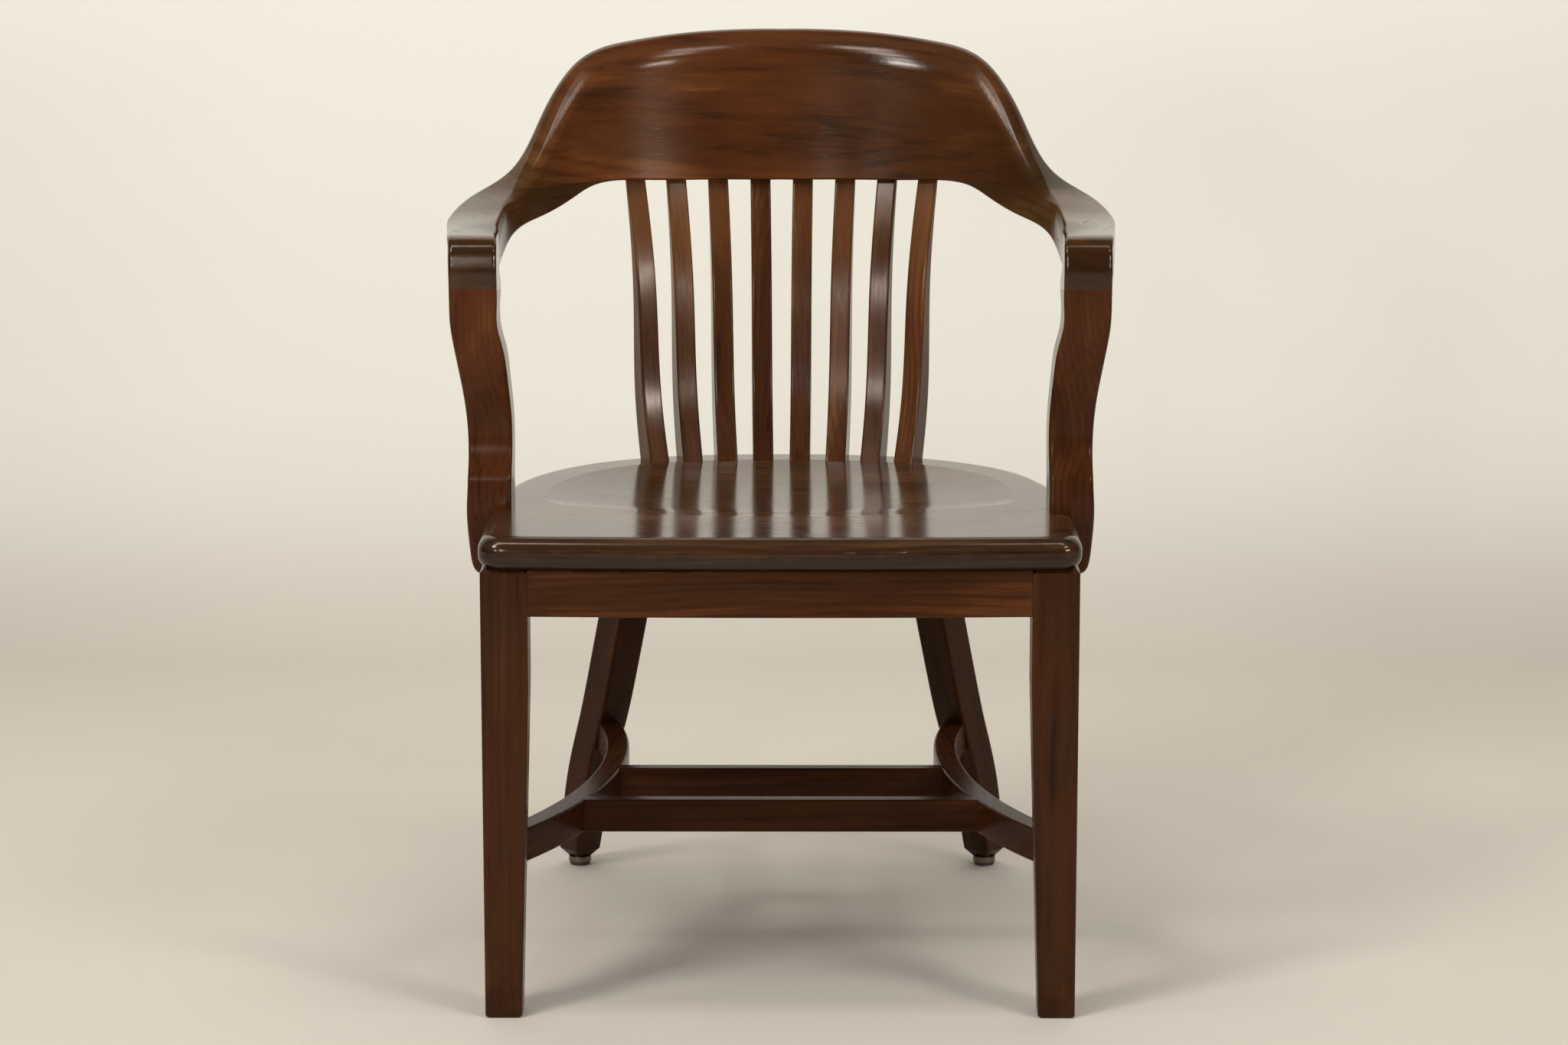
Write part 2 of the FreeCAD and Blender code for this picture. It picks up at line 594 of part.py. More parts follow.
def front_leg():
    """Left front leg, straight outside and in front, tapered inside and behind, square beside the rail."""
    wires = []
    stations = (
        (SEAT_UNDERSIDE, LEG_TOP_EASING, LEG_EDGE_RADIUS),
        (SEAT_UNDERSIDE - LEG_TOP_EASING, 0, LEG_JOINT_EDGE_RADIUS),
        (RAIL_BOTTOM, 0, LEG_JOINT_EDGE_RADIUS),
        (RAIL_BOTTOM - LEG_ROUNDING_RUN_OUT, 0, LEG_EDGE_RADIUS),
        (FRONT_LEG_TAPER_TOP, 0, LEG_EDGE_RADIUS),
        (LEG_FOOT_EASING, 0, LEG_EDGE_RADIUS),
        (0, LEG_FOOT_EASING, LEG_EDGE_RADIUS),
    )
    for height, inset, joint_radius in stations:
        low, high = inset, leg_size_at(height) - inset
        corners = ((low, low), (high, low), (high, high), (low, high))
        radii = (LEG_EDGE_RADIUS, joint_radius, LEG_EDGE_RADIUS, LEG_EDGE_RADIUS)
        wires.append(rounded_wire(V(-FRONT_LEG_OUTSIDE, 0, height), V(1, 0, 0), V(0, 1, 0), corners, radii))
    return Part.makeLoft(wires, True, True)


def rear_leg_wire(station, inset, lift):
    """Turned square section of the left rear leg at one station of its sweep."""
    height_share, splay_share, rake_share, taper_share = station
    height = between(SEAT_UNDERSIDE, GLIDE_HEIGHT, height_share) + lift
    x = -REAR_LEG_TOP_SPACING - REAR_LEG_SPLAY * splay_share
    y = REAR_LEG_TOP_Y + REAR_LEG_RAKE * rake_share
    size = between(REAR_LEG_TOP_SIZE, REAR_LEG_FOOT_SIZE, taper_share) - 2 * inset
    across, along = level(REAR_LEG_TURN), level(REAR_LEG_TURN + 90)
    return oblong_wire(V(x, y, height), across, along, size, size, LEG_EDGE_RADIUS)


def rear_leg():
    """Left rear leg with its eased foot."""
    foot = REAR_LEG_SWEEP[-1]
    shank = Part.makeLoft(
        [rear_leg_wire(station, 0, 0) for station in REAR_LEG_SWEEP[:-1]]
        + [rear_leg_wire(foot, 0, REAR_LEG_FOOT_EASING_HEIGHT)],
        True,
        False,
    )
    easing = Part.makeLoft(
        [rear_leg_wire(foot, 0, REAR_LEG_FOOT_EASING_HEIGHT), rear_leg_wire(foot, REAR_LEG_FOOT_EASING, 0)],
        True,
        True,
    )
    return shank.fuse(easing)


def rear_leg_depth(height):
    """Distance back of the rear leg's centre line at a height."""
    share = (SEAT_UNDERSIDE - height) / (SEAT_UNDERSIDE - GLIDE_HEIGHT)
    return REAR_LEG_TOP_Y + REAR_LEG_RAKE * blend(share, [(stop[0], stop[2]) for stop in REAR_LEG_SWEEP])


def rear_foot_centre(height):
    """Middle of the left rear foot at a height."""
    return V(-REAR_LEG_TOP_SPACING - REAR_LEG_SPLAY, REAR_LEG_TOP_Y + REAR_LEG_RAKE, height)


def glide_nail():
    """Nail of the left rear glide, head down."""
    seat = GLIDE_HEIGHT - GLIDE_CUP_WALL
    head = Part.makeCylinder(
        GLIDE_NAIL_HEAD_DIAMETER / 2, GLIDE_NAIL_HEAD_HEIGHT, rear_foot_centre(seat - GLIDE_NAIL_HEAD_HEIGHT)
    )
    shank = Part.makeCylinder(GLIDE_NAIL_DIAMETER / 2, GLIDE_NAIL_LENGTH, rear_foot_centre(seat))
    return head.fuse(shank)


def glide_cushion(nail):
    """Cushion of the left rear glide, round the nail's head."""
    radius = GLIDE_DIAMETER / 2 - GLIDE_CUP_WALL
    puck = Part.makeCylinder(radius, GLIDE_HEIGHT - GLIDE_CUP_WALL, rear_foot_centre(0))
    sole = [edge for edge in puck.Edges if edge.BoundBox.ZMax < GLIDE_CUP_WALL]
    return puck.makeFillet(GLIDE_CUP_WALL, sole).cut(nail)


def glide_cup(cushion, nail):
    """Metal cup of the left rear glide."""
    rim = rear_foot_centre(GLIDE_HEIGHT - GLIDE_CUP_HEIGHT)
    cup = Part.makeCylinder(GLIDE_DIAMETER / 2, GLIDE_CUP_HEIGHT, rim)
    crown = [edge for edge in cup.Edges if edge.BoundBox.ZMin > GLIDE_HEIGHT - GLIDE_CUP_WALL]
    return cup.makeFillet(GLIDE_CUP_WALL / 2, crown).cut([cushion, nail])


def bowed_band(half_length, front, bow, thickness, bottom, height):
    """Straight-grained bar whose two long faces bow forward together."""
    def arc(y):
        points = (V(-half_length, y, bottom), V(0, y - bow, bottom), V(half_length, y, bottom))
        return Part.Arc(*points).toShape()

    ends = [
        Part.LineSegment(V(x, front, bottom), V(x, front + thickness, bottom)).toShape()
        for x in (-half_length, half_length)
    ]
    wire = Part.Wire(Part.sortEdges([arc(front), arc(front + thickness)] + ends)[0])
    return Part.Face(wire).extrude(UP * height)


def ring_band(centre, radius, width, start, end, bottom, height):
    """Bent bar: part of a flat ring between two angles in degrees."""
    outer, inner = radius + width / 2, radius - width / 2

    def arc(size):
        places = [centre + level(angle) * size for angle in (start, (start + end) / 2, end)]
        return Part.Arc(*places).toShape()

    ends = [
        Part.LineSegment(centre + level(angle) * inner, centre + level(angle) * outer).toShape()
        for angle in (start, end)
    ]
    wire = Part.Wire(Part.sortEdges([arc(outer), arc(inner)] + ends)[0])
    band = Part.Face(wire).extrude(UP * height)
    band.translate(UP * bottom)
    return band


def eased(bar, radius):
    """Bar with its long edges at the top and bottom rounded."""
    box = bar.BoundBox
    long_edges = [
        edge
        for edge in bar.Edges
        if edge.BoundBox.ZLength < radius and edge.Length > 3 * box.ZLength
    ]
    return bar.makeFillet(radius, long_edges)


def front_rail():
    """Front rail between the front legs."""
    half = FRONT_LEG_OUTSIDE - FRONT_LEG_TOP_SIZE
    band = bowed_band(
        half, FRONT_RAIL_SETBACK, FRONT_RAIL_BOW, FRONT_RAIL_THICKNESS, RAIL_BOTTOM, RAIL_HEIGHT
    )
    return eased(band, RAIL_EDGE_RADIUS)


def side_rail(front, rear):
    """Left side rail: straight beside the post, then bent in to the rear leg."""
    heading = level(REAR_LEG_TURN)
    end = V(-REAR_LEG_TOP_SPACING, REAR_LEG_TOP_Y, 0) - heading * HOOP_RAIL_RUN
    bend = 90 - REAR_LEG_TURN
    radius = (end.x + SIDE_RAIL_LINE) / (1 - math.cos(math.radians(bend)))
    bend_start = end.y - radius * math.sin(math.radians(bend))
    half = SIDE_RAIL_THICKNESS / 2
    straight = box_between(
        (-SIDE_RAIL_LINE - half, FRONT_LEG_TOP_SIZE / 2, RAIL_BOTTOM),
        (-SIDE_RAIL_LINE + half, bend_start, SEAT_UNDERSIDE),
    )
    centre = V(-SIDE_RAIL_LINE + radius, bend_start, 0)
    bent = ring_band(centre, radius, SIDE_RAIL_THICKNESS, 180 - bend, 180, RAIL_BOTTOM, RAIL_HEIGHT)
    run = Part.makeBox(HOOP_RAIL_RUN, SIDE_RAIL_THICKNESS, RAIL_HEIGHT, V(0, -half, RAIL_BOTTOM))
    run.rotate(V(0, 0, 0), UP, REAR_LEG_TURN)
    run.translate(end)
    return straight.fuse([bent, run]).removeSplitter().cut([front, rear])


def rear_rail_bend():
    """Centre and radius of the rear rail's bend."""
    heading = level(REAR_LEG_TURN)
    bend_start = V(-REAR_LEG_TOP_SPACING, REAR_LEG_TOP_Y, 0) + heading * HOOP_RAIL_RUN
    radius = -bend_start.x / heading.y
    return V(0, bend_start.y - radius * heading.x, 0), radius


def rear_rail(leg):
    """Bent rear rail between the rear legs."""
    start = V(-REAR_LEG_TOP_SPACING, REAR_LEG_TOP_Y, 0)
    centre, radius = rear_rail_bend()
    bent = ring_band(
        centre, radius, SIDE_RAIL_THICKNESS, 90 - REAR_LEG_TURN, 90 + REAR_LEG_TURN, RAIL_BOTTOM, RAIL_HEIGHT
    )
    corner = V(0, -SIDE_RAIL_THICKNESS / 2, RAIL_BOTTOM)
    run = Part.makeBox(HOOP_RAIL_RUN, SIDE_RAIL_THICKNESS, RAIL_HEIGHT, corner)
    run.rotate(V(0, 0, 0), UP, REAR_LEG_TURN)
    run.translate(start)
    return bent.fuse([run, mirrored(run)]).removeSplitter().cut([leg, mirrored(leg)])


def rail_dowels():
    """Left-hand dowels that pin the rails to the legs."""
    inner_face = FRONT_LEG_OUTSIDE - FRONT_LEG_TOP_SIZE
    heading = level(REAR_LEG_TURN)
    rear = V(-REAR_LEG_TOP_SPACING, REAR_LEG_TOP_Y, 0)
    places = (
        (V(-inner_face, FRONT_RAIL_SETBACK + FRONT_RAIL_THICKNESS / 2, 0), V(1, 0, 0)),
        (V(-SIDE_RAIL_LINE, FRONT_LEG_TOP_SIZE, 0), V(0, 1, 0)),
        (rear - heading * (REAR_LEG_TOP_SIZE / 2), heading),
        (rear + heading * (REAR_LEG_TOP_SIZE / 2), heading),
    )
    return [
        rod(place + UP * (RAIL_MIDDLE + offset), direction, DOWEL_DIAMETER, DOWEL_LENGTH)
        for place, direction in places
        for offset in (-RAIL_DOWEL_SPACING / 2, RAIL_DOWEL_SPACING / 2)
    ]


def rail_corner(height):
    """Inner corner of the left side rail and the front rail at a height."""
    rail_inside = SIDE_RAIL_LINE - SIDE_RAIL_THICKNESS / 2
    return V(-rail_inside, FRONT_RAIL_SETBACK + FRONT_RAIL_THICKNESS, height)


def corner_block(leg, front, side):
    """Left corner block across the angle of the front and side rails."""
    corner = rail_corner(SEAT_UNDERSIDE - BLOCK_HEIGHT)
    rail_side = V(0, -FRONT_RAIL_BOW, 0)
    points = [corner + rail_side, corner + rail_side + V(BLOCK_REACH, 0, 0), corner + V(0, BLOCK_REACH, 0)]
    wire = Part.makePolygon(points + points[:1])
    return cut_by(Part.Face(wire).extrude(UP * BLOCK_HEIGHT), [leg, front, side])


def wood_screw(head, direction):
    """Countersunk screw whose head lies flush at a point and whose shank runs along a direction."""
    neck = head + direction * SCREW_HEAD_HEIGHT
    shoulder = head + direction * (SCREW_LENGTH - SCREW_POINT_LENGTH)
    radius = SCREW_DIAMETER / 2
    cone = Part.makeCone(SCREW_HEAD_DIAMETER / 2, radius, SCREW_HEAD_HEIGHT, head, direction)
    shank = Part.makeCylinder(radius, (shoulder - neck).Length, neck, direction)
    tip = Part.makeCone(radius, SCREW_TIP_RADIUS, SCREW_POINT_LENGTH, shoulder, direction)
    return cone.fuse([shank, tip]).removeSplitter()


def screws_and_bores(places, direction, bore_length):
    """Screws with heads at the places, and the bores that lead to their heads."""
    screws = [wood_screw(place, direction) for place in places]
    bores = [
        Part.makeCylinder(SCREW_BORE_DIAMETER / 2, bore_length, place, -direction)
        for place in places
    ]
    return screws, bores


def block_screws():
    """Screws that hold the left corner block to the two rails, and their bores."""
    corner = rail_corner(SEAT_UNDERSIDE - BLOCK_HEIGHT / 2)
    beside = corner + V(BLOCK_SCREW_GRIP, BLOCK_SCREW_SETBACK, 0)
    front = corner + V(BLOCK_SCREW_SETBACK, BLOCK_SCREW_GRIP, 0)
    side_screws, side_bores = screws_and_bores([beside], V(-1, 0, 0), BLOCK_REACH)
    front_screws, front_bores = screws_and_bores([front], V(0, -1, 0), BLOCK_REACH)
    return side_screws + front_screws, side_bores + front_bores


def seat_screw_places():
    """Screw heads on the left half of the frame, for the screws that go up into the seat."""
    height = SEAT_UNDERSIDE + SEAT_SCREW_BITE - SCREW_LENGTH
    centre, radius = rear_rail_bend()
    half = REAR_SEAT_SCREW_SPACING / 2
    return (
        rail_corner(height) + V(BLOCK_SEAT_SCREW_INSET, BLOCK_SEAT_SCREW_INSET, 0),
        V(-SIDE_RAIL_LINE, SIDE_SEAT_SCREW_Y, height),
        V(-half, centre.y + math.sqrt(radius * radius - half * half), height),
    )


def post_screws():
    """Screws from inside the left side rail into the post's tail."""
    setback, depth = POST_TAIL[2][1:3]
    face = V(-POST_FACE + SIDE_RAIL_THICKNESS, POST_FRONT_Y + setback + depth / 2, SEAT_TOP)
    return [wood_screw(face - UP * drop, V(-1, 0, 0)) for drop in POST_SCREW_DROPS]


def post_dowels():
    """Upright dowels between the left post and arm."""
    x = -NOSE_INSIDE - NOSE_WIDTH / 2
    y = CROOK_Y - CROOK_RADIUS - (NOSE_OUTLINE[-2][0] - CROOK_RADIUS) / 2
    offsets = (-POST_DOWEL_SPACING / 2, POST_DOWEL_SPACING / 2)
    return [rod(V(x, y + offset, ARM_JOINT_HEIGHT), UP, DOWEL_DIAMETER, DOWEL_LENGTH) for offset in offsets]


def crest_dowels():
    """Upright dowels between the left arm and the crest."""
    dowels = []
    for angle in CREST_DOWEL_ANGLES:
        point, outward = hoop_point(angle)
        rise = CREST_JOINT_HEIGHT - hoop_bottom(angle)
        lean = math.tan(math.radians(CREST_LEAN)) * rise * blend(angle, LEAN_SHARE)
        middle = point + outward * (CREST_THICKNESS / 2) + V(0, lean, CREST_JOINT_HEIGHT)
        dowels.append(rod(middle, UP, CREST_DOWEL_DIAMETER, CREST_DOWEL_LENGTH))
    return dowels


def side_stretcher_angle(front, run):
    """Angle from the waist at which the side stretcher's centre line has run a length into a leg."""
    if front:
        depth = leg_size_at(STRETCHER_MIDDLE) - run
        return math.degrees(math.asin((depth - SIDE_STRETCHER_WAIST_Y) / SIDE_STRETCHER_FRONT_RADIUS))
    depth = rear_leg_depth(STRETCHER_MIDDLE) - SIDE_STRETCHER_REAR_SETBACK + run
    return math.degrees(math.asin((depth - SIDE_STRETCHER_WAIST_Y) / SIDE_STRETCHER_REAR_RADIUS))


def side_stretcher_tenons():
    """Round tenons of the left side stretcher."""
    tenons = []
    for front, radius in ((True, SIDE_STRETCHER_FRONT_RADIUS), (False, SIDE_STRETCHER_REAR_RADIUS)):
        angle = side_stretcher_angle(front, 0)
        centre = V(-SIDE_STRETCHER_WAIST - radius, SIDE_STRETCHER_WAIST_Y, STRETCHER_MIDDLE)
        point = centre + level(angle) * radius
        tenons.append(rod(point, level(angle + 90), STRETCHER_TENON_DIAMETER, 2 * STRETCHER_TENON_LENGTH))
    return tenons


def side_stretcher_bar():
    """Left side stretcher, bowed in between the front and rear legs and let into both."""
    waist = V(-SIDE_STRETCHER_WAIST, SIDE_STRETCHER_WAIST_Y, 0)
    width, bottom, height = SIDE_STRETCHER_WIDTH, STRETCHER_BOTTOM, STRETCHER_HEIGHT
    front_radius, rear_radius = SIDE_STRETCHER_FRONT_RADIUS, SIDE_STRETCHER_REAR_RADIUS
    start = side_stretcher_angle(True, SIDE_STRETCHER_HOUSING)
    end = side_stretcher_angle(False, SIDE_STRETCHER_HOUSING)
    fore = ring_band(waist - V(front_radius, 0, 0), front_radius, width, start, 0, bottom, height)
    aft = ring_band(waist - V(rear_radius, 0, 0), rear_radius, width, 0, end, bottom, height)
    return eased(fore.fuse(aft).removeSplitter(), STRETCHER_EDGE_RADIUS)


def side_stretcher_inside(y):
    """Distance from the middle of the chair to the side stretcher's centre line at a depth."""
    radius = SIDE_STRETCHER_FRONT_RADIUS
    along = SIDE_STRETCHER_WAIST_Y - y
    return SIDE_STRETCHER_WAIST + radius - math.sqrt(radius * radius - along * along)


def cross_tenon(y):
    """Left round tenon of a cross stretcher."""
    face = side_stretcher_inside(y) - SIDE_STRETCHER_WIDTH / 2
    return rod(V(-face, y, STRETCHER_MIDDLE), V(1, 0, 0), CROSS_TENON_DIAMETER, 2 * CROSS_TENON_LENGTH)


def cross_stretcher(y, side_bar):
    """Straight stretcher between the side stretchers."""
    half = side_stretcher_inside(y)
    low = (-half, y - CROSS_STRETCHER_WIDTH / 2, STRETCHER_BOTTOM)
    high = (half, y + CROSS_STRETCHER_WIDTH / 2, STRETCHER_TOP)
    bar = eased(box_between(low, high), STRETCHER_EDGE_RADIUS).cut([side_bar, mirrored(side_bar)])
    return bar.fuse(both_sides([cross_tenon(y)])).removeSplitter()


def save(pieces):
    """Write every node, moved so that the origin is under the middle of the chair."""
    box = Part.makeCompound([shape for shapes in pieces.values() for shape in shapes]).BoundBox
    shift = V(-(box.XMin + box.XMax) / 2, -(box.YMin + box.YMax) / 2, -box.ZMin)
    os.makedirs("parts", exist_ok=True)
    for name, shapes in pieces.items():
        shape = shapes[0] if len(shapes) == 1 else Part.makeCompound(shapes)
        shape.translate(shift)
        shape.exportStep("parts/" + name + ".step")
    print("size", box.XLength, box.YLength, box.ZLength, "shift", shift)


def main():
    """Build the chair."""
    crest, arm, post = crest_arm_and_post()
    fore, aft = front_leg(), rear_leg()
    rail, hoop_rail, back_rail = front_rail(), side_rail(fore, aft), rear_rail(aft)
    block = corner_block(fore, rail, hoop_rail)
    nail = glide_nail()
    cushion = glide_cushion(nail)
    cup = glide_cup(cushion, nail)
    bar = side_stretcher_bar()
    bar_and_tenons = bar.fuse(side_stretcher_tenons())
    crosses = {"front": CROSS_STRETCHER_FRONT_Y, "rear": CROSS_STRETCHER_REAR_Y}

    frame_dowels, arm_dowels, top_dowels = rail_dowels(), post_dowels(), crest_dowels()
    up_screws, up_bores = screws_and_bores(seat_screw_places(), UP, RAIL_HEIGHT)
    corner_screws, corner_bores = block_screws()
    tail_screws = post_screws()
    holes = both_sides(frame_dowels + corner_screws + tail_screws + up_screws + up_bores)

    mortises = [tenon for index in range(SLAT_COUNT) for tenon in slat_tenons(index, FIT_CLEARANCE)]
    board_pins = seat_dowels()
    let_in = mortises + board_pins + both_sides([post] + up_screws)
    boards = [cut_by(board, let_in) for board in seat_boards(whole_seat())]

    pieces = {}
    for index in range(SLAT_COUNT):
        body = cut_by(slat_body(index), [crest] + boards)
        pieces["slat_%d" % (index + 1)] = [body.fuse(slat_tenons(index, 0)).removeSplitter()]
    for index, board in enumerate(boards):
        pieces["seat_board_%d" % (index + 1)] = [board]
    pieces["crest_rail"] = [cut_by(crest, mortises + both_sides(top_dowels))]

    sided = {
        "arm": cut_by(arm, arm_dowels + top_dowels),
        "arm_post": cut_by(post, arm_dowels + tail_screws),
        "front_leg": cut_by(fore, holes + [bar_and_tenons]),
        "rear_leg": cut_by(aft, holes + [bar_and_tenons, nail]),
        "side_rail": cut_by(hoop_rail, holes),
        "side_stretcher": cut_by(bar_and_tenons, [cross_tenon(y) for y in crosses.values()]),
    }
    for name, shape in sided.items():
        pieces[name + "_left"] = [shape]
        pieces[name + "_right"] = [mirrored(shape)]

    pieces["front_rail"] = [cut_by(rail, holes)]
    pieces["rear_rail"] = [cut_by(back_rail, holes)]
    for name, y in crosses.items():
        pieces["cross_stretcher_" + name] = [cross_stretcher(y, bar)]
    pieces["corner_blocks"] = both_sides([block.cut(corner_screws + corner_bores + up_screws + up_bores)])
    pieces["corner_block_screws"] = both_sides(corner_screws)
    pieces["seat_screws"] = both_sides(up_screws)
    pieces["post_screws"] = both_sides(tail_screws)
    pieces["rail_dowels"] = both_sides(frame_dowels)
    pieces["seat_board_dowels"] = board_pins
    pieces["arm_post_dowels"] = both_sides(arm_dowels)
    pieces["crest_dowels"] = both_sides(top_dowels)
    pieces["rear_glide_cups"] = both_sides([cup])
    pieces["rear_glide_cushions"] = both_sides([cushion])
    pieces["rear_glide_nails"] = both_sides([nail])
    save(pieces)


if __name__ == "__main__":
    main()
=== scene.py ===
"""Dressing of the bankers chair: lacquered walnut, its glides, a plain studio and the view."""

import logging
import math
from abc import ABC, abstractmethod
from dataclasses import dataclass, field, replace
from enum import Enum
from typing import Any, Callable, Optional, Union

import bmesh
import bpy
from mathutils import Matrix, Vector


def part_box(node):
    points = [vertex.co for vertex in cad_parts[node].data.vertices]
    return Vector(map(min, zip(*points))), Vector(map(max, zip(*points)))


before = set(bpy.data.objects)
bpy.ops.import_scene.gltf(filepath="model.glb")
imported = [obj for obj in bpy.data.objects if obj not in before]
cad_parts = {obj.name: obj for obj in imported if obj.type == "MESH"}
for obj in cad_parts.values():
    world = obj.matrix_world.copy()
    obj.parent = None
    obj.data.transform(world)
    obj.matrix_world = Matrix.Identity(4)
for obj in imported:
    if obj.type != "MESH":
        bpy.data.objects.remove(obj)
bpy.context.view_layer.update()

Triple = tuple[float, float, float]
Number = Union["Value", float]

HANDS: dict[str, float] = {"left": 1.0, "right": -1.0}

log = logging.getLogger("bankers_chair")


class Blend(Enum):
    """How a second colour goes over a first."""

    MIX = "MIX"
    MULTIPLY = "MULTIPLY"
    SOFT_LIGHT = "SOFT_LIGHT"


class Value:
    """A shader socket that takes part in Python arithmetic."""

    def __init__(self, graph: "Graph", socket: bpy.types.NodeSocket) -> None:
        """Keeps the socket and the graph that it belongs to."""
        self.graph = graph
        self.socket = socket

    def __add__(self, other: Number) -> "Value":
        """Sum of two values."""
        return self.graph.math("ADD", self, other)

    def __radd__(self, other: Number) -> "Value":
        """Sum with a number on the left."""
        return self.graph.math("ADD", other, self)

    def __sub__(self, other: Number) -> "Value":
        """Difference of two values."""
        return self.graph.math("SUBTRACT", self, other)

    def __rsub__(self, other: Number) -> "Value":
        """Difference from a number on the left."""
        return self.graph.math("SUBTRACT", other, self)

    def __mul__(self, other: Number) -> "Value":
        """Product of two values."""
        return self.graph.math("MULTIPLY", self, other)

    def __rmul__(self, other: Number) -> "Value":
        """Product with a number on the left."""
        return self.graph.math("MULTIPLY", other, self)

    def __truediv__(self, other: Number) -> "Value":
        """Quotient of two values."""
        return self.graph.math("DIVIDE", self, other)

    def __rtruediv__(self, other: Number) -> "Value":
        """Quotient of a number on the left."""
        return self.graph.math("DIVIDE", other, self)

    def __pow__(self, power: Number) -> "Value":
        """Value raised to a power."""
        return self.graph.math("POWER", self, power)

    def __abs__(self) -> "Value":
        """Size of the value without its sign."""
        return self.graph.math("ABSOLUTE", self)

    def wave(self) -> "Value":
        """Smooth wave between 0 and 1 that repeats with every whole number."""
        return self.graph.math("SINE", self * (2 * math.pi)) * 0.5 + 0.5

    def step(self, low: float, high: float) -> "Value":
        """Smooth step from 0 to 1.

        Args:
            low: Value at which the step leaves 0.
            high: Value at which it reaches 1.

        Returns:
            The stepped value. With low above high the step falls.
        """
        settings = {"interpolation_type": "SMOOTHSTEP"}
        sockets = {"Value": self, "From Min": low, "From Max": high, "To Min": 0.0, "To Max": 1.0}
        if low > high:
            sockets.update({"From Min": high, "From Max": low, "To Min": 1.0, "To Max": 0.0})
        return self.graph.output("ShaderNodeMapRange", 0, settings, sockets)


class Graph:
    """The node tree of one material, or of the world."""

    def __init__(self, owner: Union[bpy.types.Material, bpy.types.World]) -> None:
        """Empties the tree of a new material or world.

        Args:
            owner: The material or world.
        """
        owner.use_nodes = True
        self.owner = owner
        self.tree = owner.node_tree
        self.tree.nodes.clear()

    @classmethod
    def material(cls, name: str) -> "Graph":
        """Graph of a new material."""
        return cls(bpy.data.materials.new(name))

    def node(
        self,
        kind: str,
        settings: Optional[dict[str, Any]] = None,
        sockets: Optional[dict[Union[str, int], Any]] = None,
    ) -> bpy.types.Node:
        """Adds a node.

        Args:
            kind: Name of the node's type.
            settings: Properties of the node, set first. "stops" fills a colour ramp.
            sockets: Numbers, colours or links of the input sockets, by name or place.

        Returns:
            The new node.
        """
        made = self.tree.nodes.new(kind)
        for name, setting in (settings or {}).items():
            if name == "stops":
                self.fill_ramp(made, setting)
            else:
                setattr(made, name, setting)
        for name, content in (sockets or {}).items():
            socket = made.inputs[name]
            if isinstance(content, Value):
                self.tree.links.new(content.socket, socket)
            else:
                socket.default_value = content
        return made

    def output(
        self,
        kind: str,
        result: Union[str, int] = 0,
        settings: Optional[dict[str, Any]] = None,
        sockets: Optional[dict[Union[str, int], Any]] = None,
    ) -> Value:
        """Adds a node and gives one of its outputs.

        Args:
            kind: Name of the node's type.
            result: Name or place of the output.
            settings: Properties of the node.
            sockets: Contents of its input sockets.

        Returns:
            The output.
        """
        return Value(self, self.node(kind, settings, sockets).outputs[result])

    @staticmethod
    def fill_ramp(ramp: bpy.types.Node, stops: list[tuple[float, Triple]]) -> None:
        """Sets the stops of a colour ramp, with smooth passages between them.

        Args:
            ramp: The ramp's node.
            stops: Places with their colours, in rising order.
        """
        ramp.color_ramp.interpolation = "EASE"
        elements = ramp.color_ramp.elements
        while len(elements) < len(stops):
            elements.new(0.5)
        for element, (place, colour) in zip(elements, stops):
            element.position = place
            element.color = (*colour, 1.0)

    def math(self, operation: str, *terms: Number) -> Value:
        """Math node on one or more values."""
        return self.output("ShaderNodeMath", 0, {"operation": operation}, dict(enumerate(terms)))

    def vector(self, operation: str, *terms: Any) -> Value:
        """Vector Math node on vectors.

        Args:
            operation: The node's operation.
            terms: Vectors as values or as three numbers.

        Returns:
            The vector, or the number for a length or dot product.
        """
        result = "Value" if operation in ("LENGTH", "DOT_PRODUCT") else "Vector"
        settings = {"operation": operation}
        return self.output("ShaderNodeVectorMath", result, settings, dict(enumerate(terms)))

    def mix(self, factor: Number, low: Any, high: Any, blend: Blend = Blend.MIX) -> Value:
        """Mix of two colours.

        Args:
            factor: Share of the second colour.
            low: First colour, a value or three numbers.
            high: Second colour, a value or three numbers.
            blend: How the second goes over the first.

        Returns:
            The mixed colour.
        """
        def full(colour: Any) -> Any:
            """Colour with its fourth number."""
            return colour if isinstance(colour, Value) else (*colour, 1.0)

        settings = {"data_type": "RGBA", "blend_type": blend.value, "clamp_factor": True}
        return self.output("ShaderNodeMix", 2, settings, {0: factor, 6: full(low), 7: full(high)})

    def noise(
        self, place: Value, scale: Triple, detail: float = 2.0, roughness: float = 0.5
    ) -> Value:
        """Noise stretched by a scale along each axis, about 0.5 in the middle.

        Args:
            place: Coordinates in metres.
            scale: Features in a metre along each axis.
            detail: Octaves of finer noise.
            roughness: Strength of each finer octave.

        Returns:
            The noise as a number.
        """
        sockets = {
            "Vector": self.vector("MULTIPLY", place, scale), "Scale": 1.0, "Detail": detail,
            "Roughness": roughness,
        }
        return self.output("ShaderNodeTexNoise", 0, None, sockets)

    def drift(self, place: Value, scale: Triple, reach: Triple) -> Value:
        """Coordinates pushed about by a slow noise.

        Args:
            place: Coordinates in metres.
            scale: Features in a metre along each axis.
            reach: Farthest push along each axis, in metres.

        Returns:
            The pushed coordinates.
        """
        sockets = {"Vector": self.vector("MULTIPLY", place, scale), "Scale": 1.0, "Detail": 2.0}
        colour = self.output("ShaderNodeTexNoise", 1, None, sockets)
        centred = self.vector("SUBTRACT", colour, (0.5, 0.5, 0.5))
        return self.vector("MULTIPLY_ADD", centred, tuple(2 * push for push in reach), place)

